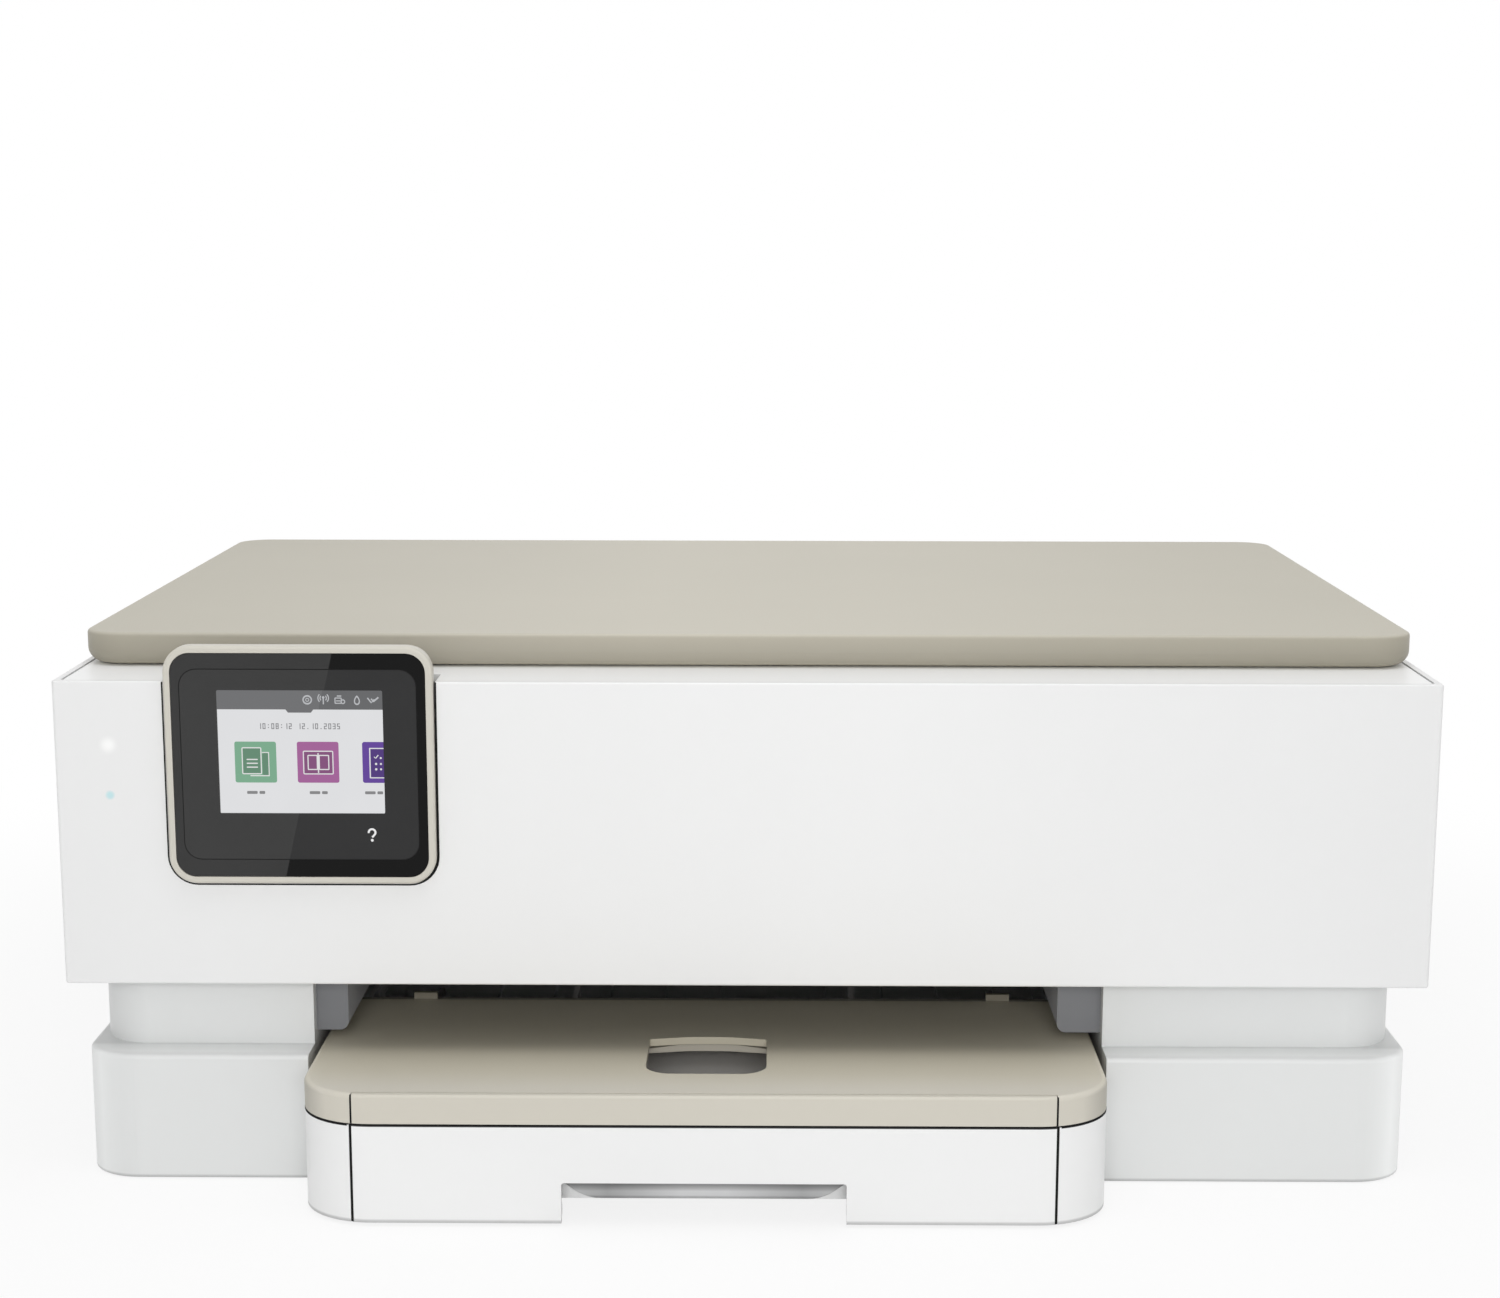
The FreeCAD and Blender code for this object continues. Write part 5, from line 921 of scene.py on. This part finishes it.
# bright caps on the two pins of the mains inlet; each ring has a depth and a share of the radius
inletLow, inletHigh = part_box("power_inlet")
pinCap = {"apart": 4.3 * mm, "radius": 1.27 * mm,
          "rings": ((11.8 * mm, 1.0), (2.8 * mm, 1.0), (2.17 * mm, 0.86), (1.9 * mm, 0.5))}
inletX, inletZ = (inletLow.x + inletHigh.x) / 2, (inletLow.z + inletHigh.z) / 2
bm = bmesh.new()
for side in (-1, 1):
    rings = []
    for depth, share in pinCap["rings"]:
        spots = roundOutline(inletX + side * pinCap["apart"], inletZ, pinCap["radius"] * share)
        rings.append([bm.verts.new((x, inletHigh.y - depth, z)) for x, z in spots])
    stackedWalls(bm, rings)
makePiece("inletPins", "base", shaftSteel, bm)

# finger ridges: on the rear door and on the two paper guides
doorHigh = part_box("rear_door")[1]
doorGrip = {"centre": -13.2 * mm, "half": 13.5 * mm, "count": 3, "pitch": 1.7 * mm, "rise": 0.8 * mm,
            "drop": 1.4 * mm, "sink": 1.25 * mm, "thick": 0.5 * mm}
ridgeTurns = turnsTo(180.0, 6)
bm = bmesh.new()
for i in range(doorGrip["count"]):
    middle = doorHigh.z - doorGrip["drop"] - i * doorGrip["pitch"]
    profile = [(doorHigh.y - doorGrip["sink"] + doorGrip["rise"] * math.sin(t),
                middle + doorGrip["thick"] * math.cos(t)) for t in ridgeTurns]
    stackedWalls(bm, [[bm.verts.new((doorGrip["centre"] + side * doorGrip["half"], y, z)) for y, z in profile]
                      for side in (-1, 1)])
makePiece("doorRidges", "rear_door", baseShadedWhite, bm)
guideGrip = {"count": 6, "pitch": 3.0 * mm, "rise": 0.7 * mm, "thick": 0.7 * mm, "bottom": 13.0 * mm,
             "top": 1.5 * mm}
for side, end, node in ((-1, "Left", "width_guide_left"), (1, "Right", "width_guide_right")):
    low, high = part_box(node)
    outer = (low.x if side < 0 else high.x) - side * bite
    bm = bmesh.new()
    for i in range(guideGrip["count"]):
        middle = (low.y + high.y) / 2 + (i - (guideGrip["count"] - 1) / 2) * guideGrip["pitch"]
        profile = [(outer + side * guideGrip["rise"] * math.sin(t), middle + guideGrip["thick"] * math.cos(t))
                   for t in ridgeTurns]
        lyingPlate(bm, profile, high.z - guideGrip["bottom"], high.z - guideGrip["top"])
    makePiece("guideRidges" + end, node, wellGrey, bm)
print("pieces added")


# floor, light and camera
def stageFloor(look):
    mesh = bpy.data.meshes.new("studioFloor")
    reach = look["reach"]
    corners = [(-reach, -reach, 0), (reach, -reach, 0), (reach, reach, 0), (-reach, reach, 0)]
    mesh.from_pydata(corners, [], [(0, 1, 2, 3)])
    floor = bpy.data.objects.new("studioFloor", mesh)
    bpy.context.scene.collection.objects.link(floor)
    finish = bpy.data.materials.new("studioFloor")
    finish.use_nodes = True
    tree = finish.node_tree
    tree.nodes.clear()
    out = tree.nodes.new("ShaderNodeOutputMaterial")
    matt = tree.nodes.new("ShaderNodeBsdfDiffuse")
    matt.inputs["Color"].default_value = (*look["colour"], 1.0)
    glow = tree.nodes.new("ShaderNodeEmission")
    mix = tree.nodes.new("ShaderNodeMixShader")
    spot = tree.nodes.new("ShaderNodeTexCoord")
    far = ranged(tree, distanceTo(tree, spot.outputs["Object"], (0.0, 0.0, 0.0)), look["near"], look["far"],
                 look["lift"], 1.0, True)
    share = tree.nodes.new("ShaderNodeMath")
    share.operation = "MULTIPLY"
    tree.links.new(far, share.inputs[0])
    tree.links.new(seenRays(tree), share.inputs[1])
    tree.links.new(share.outputs[0], mix.inputs[0])
    tree.links.new(matt.outputs[0], mix.inputs[1])
    tree.links.new(glow.outputs[0], mix.inputs[2])
    tree.links.new(mix.outputs[0], out.inputs["Surface"])
    mesh.materials.append(finish)


def seenRays(tree):
    path = tree.nodes.new("ShaderNodeLightPath")
    total = path.outputs["Is Camera Ray"]
    for other in ("Is Glossy Ray", "Is Transmission Ray"):
        node = tree.nodes.new("ShaderNodeMath")
        node.operation = "MAXIMUM"
        tree.links.new(total, node.inputs[0])
        tree.links.new(path.outputs[other], node.inputs[1])
        total = node.outputs[0]
    return total


def stageWorld(look):
    world = bpy.data.worlds.new("studioWorld")
    bpy.context.scene.world = world
    world.use_nodes = True
    tree = world.node_tree
    tree.nodes.clear()
    out = tree.nodes.new("ShaderNodeOutputWorld")
    mix = tree.nodes.new("ShaderNodeMixShader")
    for i, strength in ((1, look["light"]), (2, 1.0)):
        node = tree.nodes.new("ShaderNodeBackground")
        node.inputs["Strength"].default_value = strength
        node.inputs["Color"].default_value = (1.0, 1.0, 1.0, 1.0)
        tree.links.new(node.outputs[0], mix.inputs[i])
    tree.links.new(seenRays(tree), mix.inputs[0])
    tree.links.new(mix.outputs[0], out.inputs["Surface"])


def softBox(name, look):
    lamp = bpy.data.lights.new(name, "AREA")
    lamp.shape = "RECTANGLE"
    lamp.size, lamp.size_y = look["size"]
    lamp.energy = look["power"]
    obj = bpy.data.objects.new(name, lamp)
    bpy.context.scene.collection.objects.link(obj)
    obj.location = look["place"]
    obj.rotation_euler = (Vector(look["aim"]) - Vector(look["place"])).to_track_quat("-Z", "Y").to_euler()
    obj.visible_camera = False


stageFloor({"reach": 6.0, "colour": (0.88, 0.88, 0.88), "near": 0.25, "far": 0.70, "lift": 0.84})
stageWorld({"light": 0.56})
softBox("overheadBox", {
    "size": (1.6, 1.0), "place": (0.1, -0.35, 1.7), "aim": (0.0, -0.05, 0.1), "power": 9.0})
softBox("frontBox", {
    "size": (0.9, 0.35), "place": (0.02, -1.75, 0.54), "aim": (0.0, -0.15, 0.09), "power": 8.0})

photoCamera = {"place": (0.008, -1.046, 0.316), "pitch": 11.49, "roll": -0.1, "yaw": 0.45, "lens": 66.24,
               "sensor": 36.0, "shift": (0.0, 0.1007)}
lens = bpy.data.cameras.new("photoCamera")
lens.sensor_width = photoCamera["sensor"]
lens.lens = photoCamera["lens"]
lens.shift_x, lens.shift_y = photoCamera["shift"]
camera = bpy.data.objects.new("photoCamera", lens)
bpy.context.scene.collection.objects.link(camera)
camera.location = photoCamera["place"]
camera.rotation_euler = (math.radians(90.0 - photoCamera["pitch"]), math.radians(photoCamera["roll"]),
                         math.radians(photoCamera["yaw"]))
bpy.context.scene.camera = camera
bpy.context.scene.view_settings.view_transform = "Standard"
print("studio set")

print("all done")
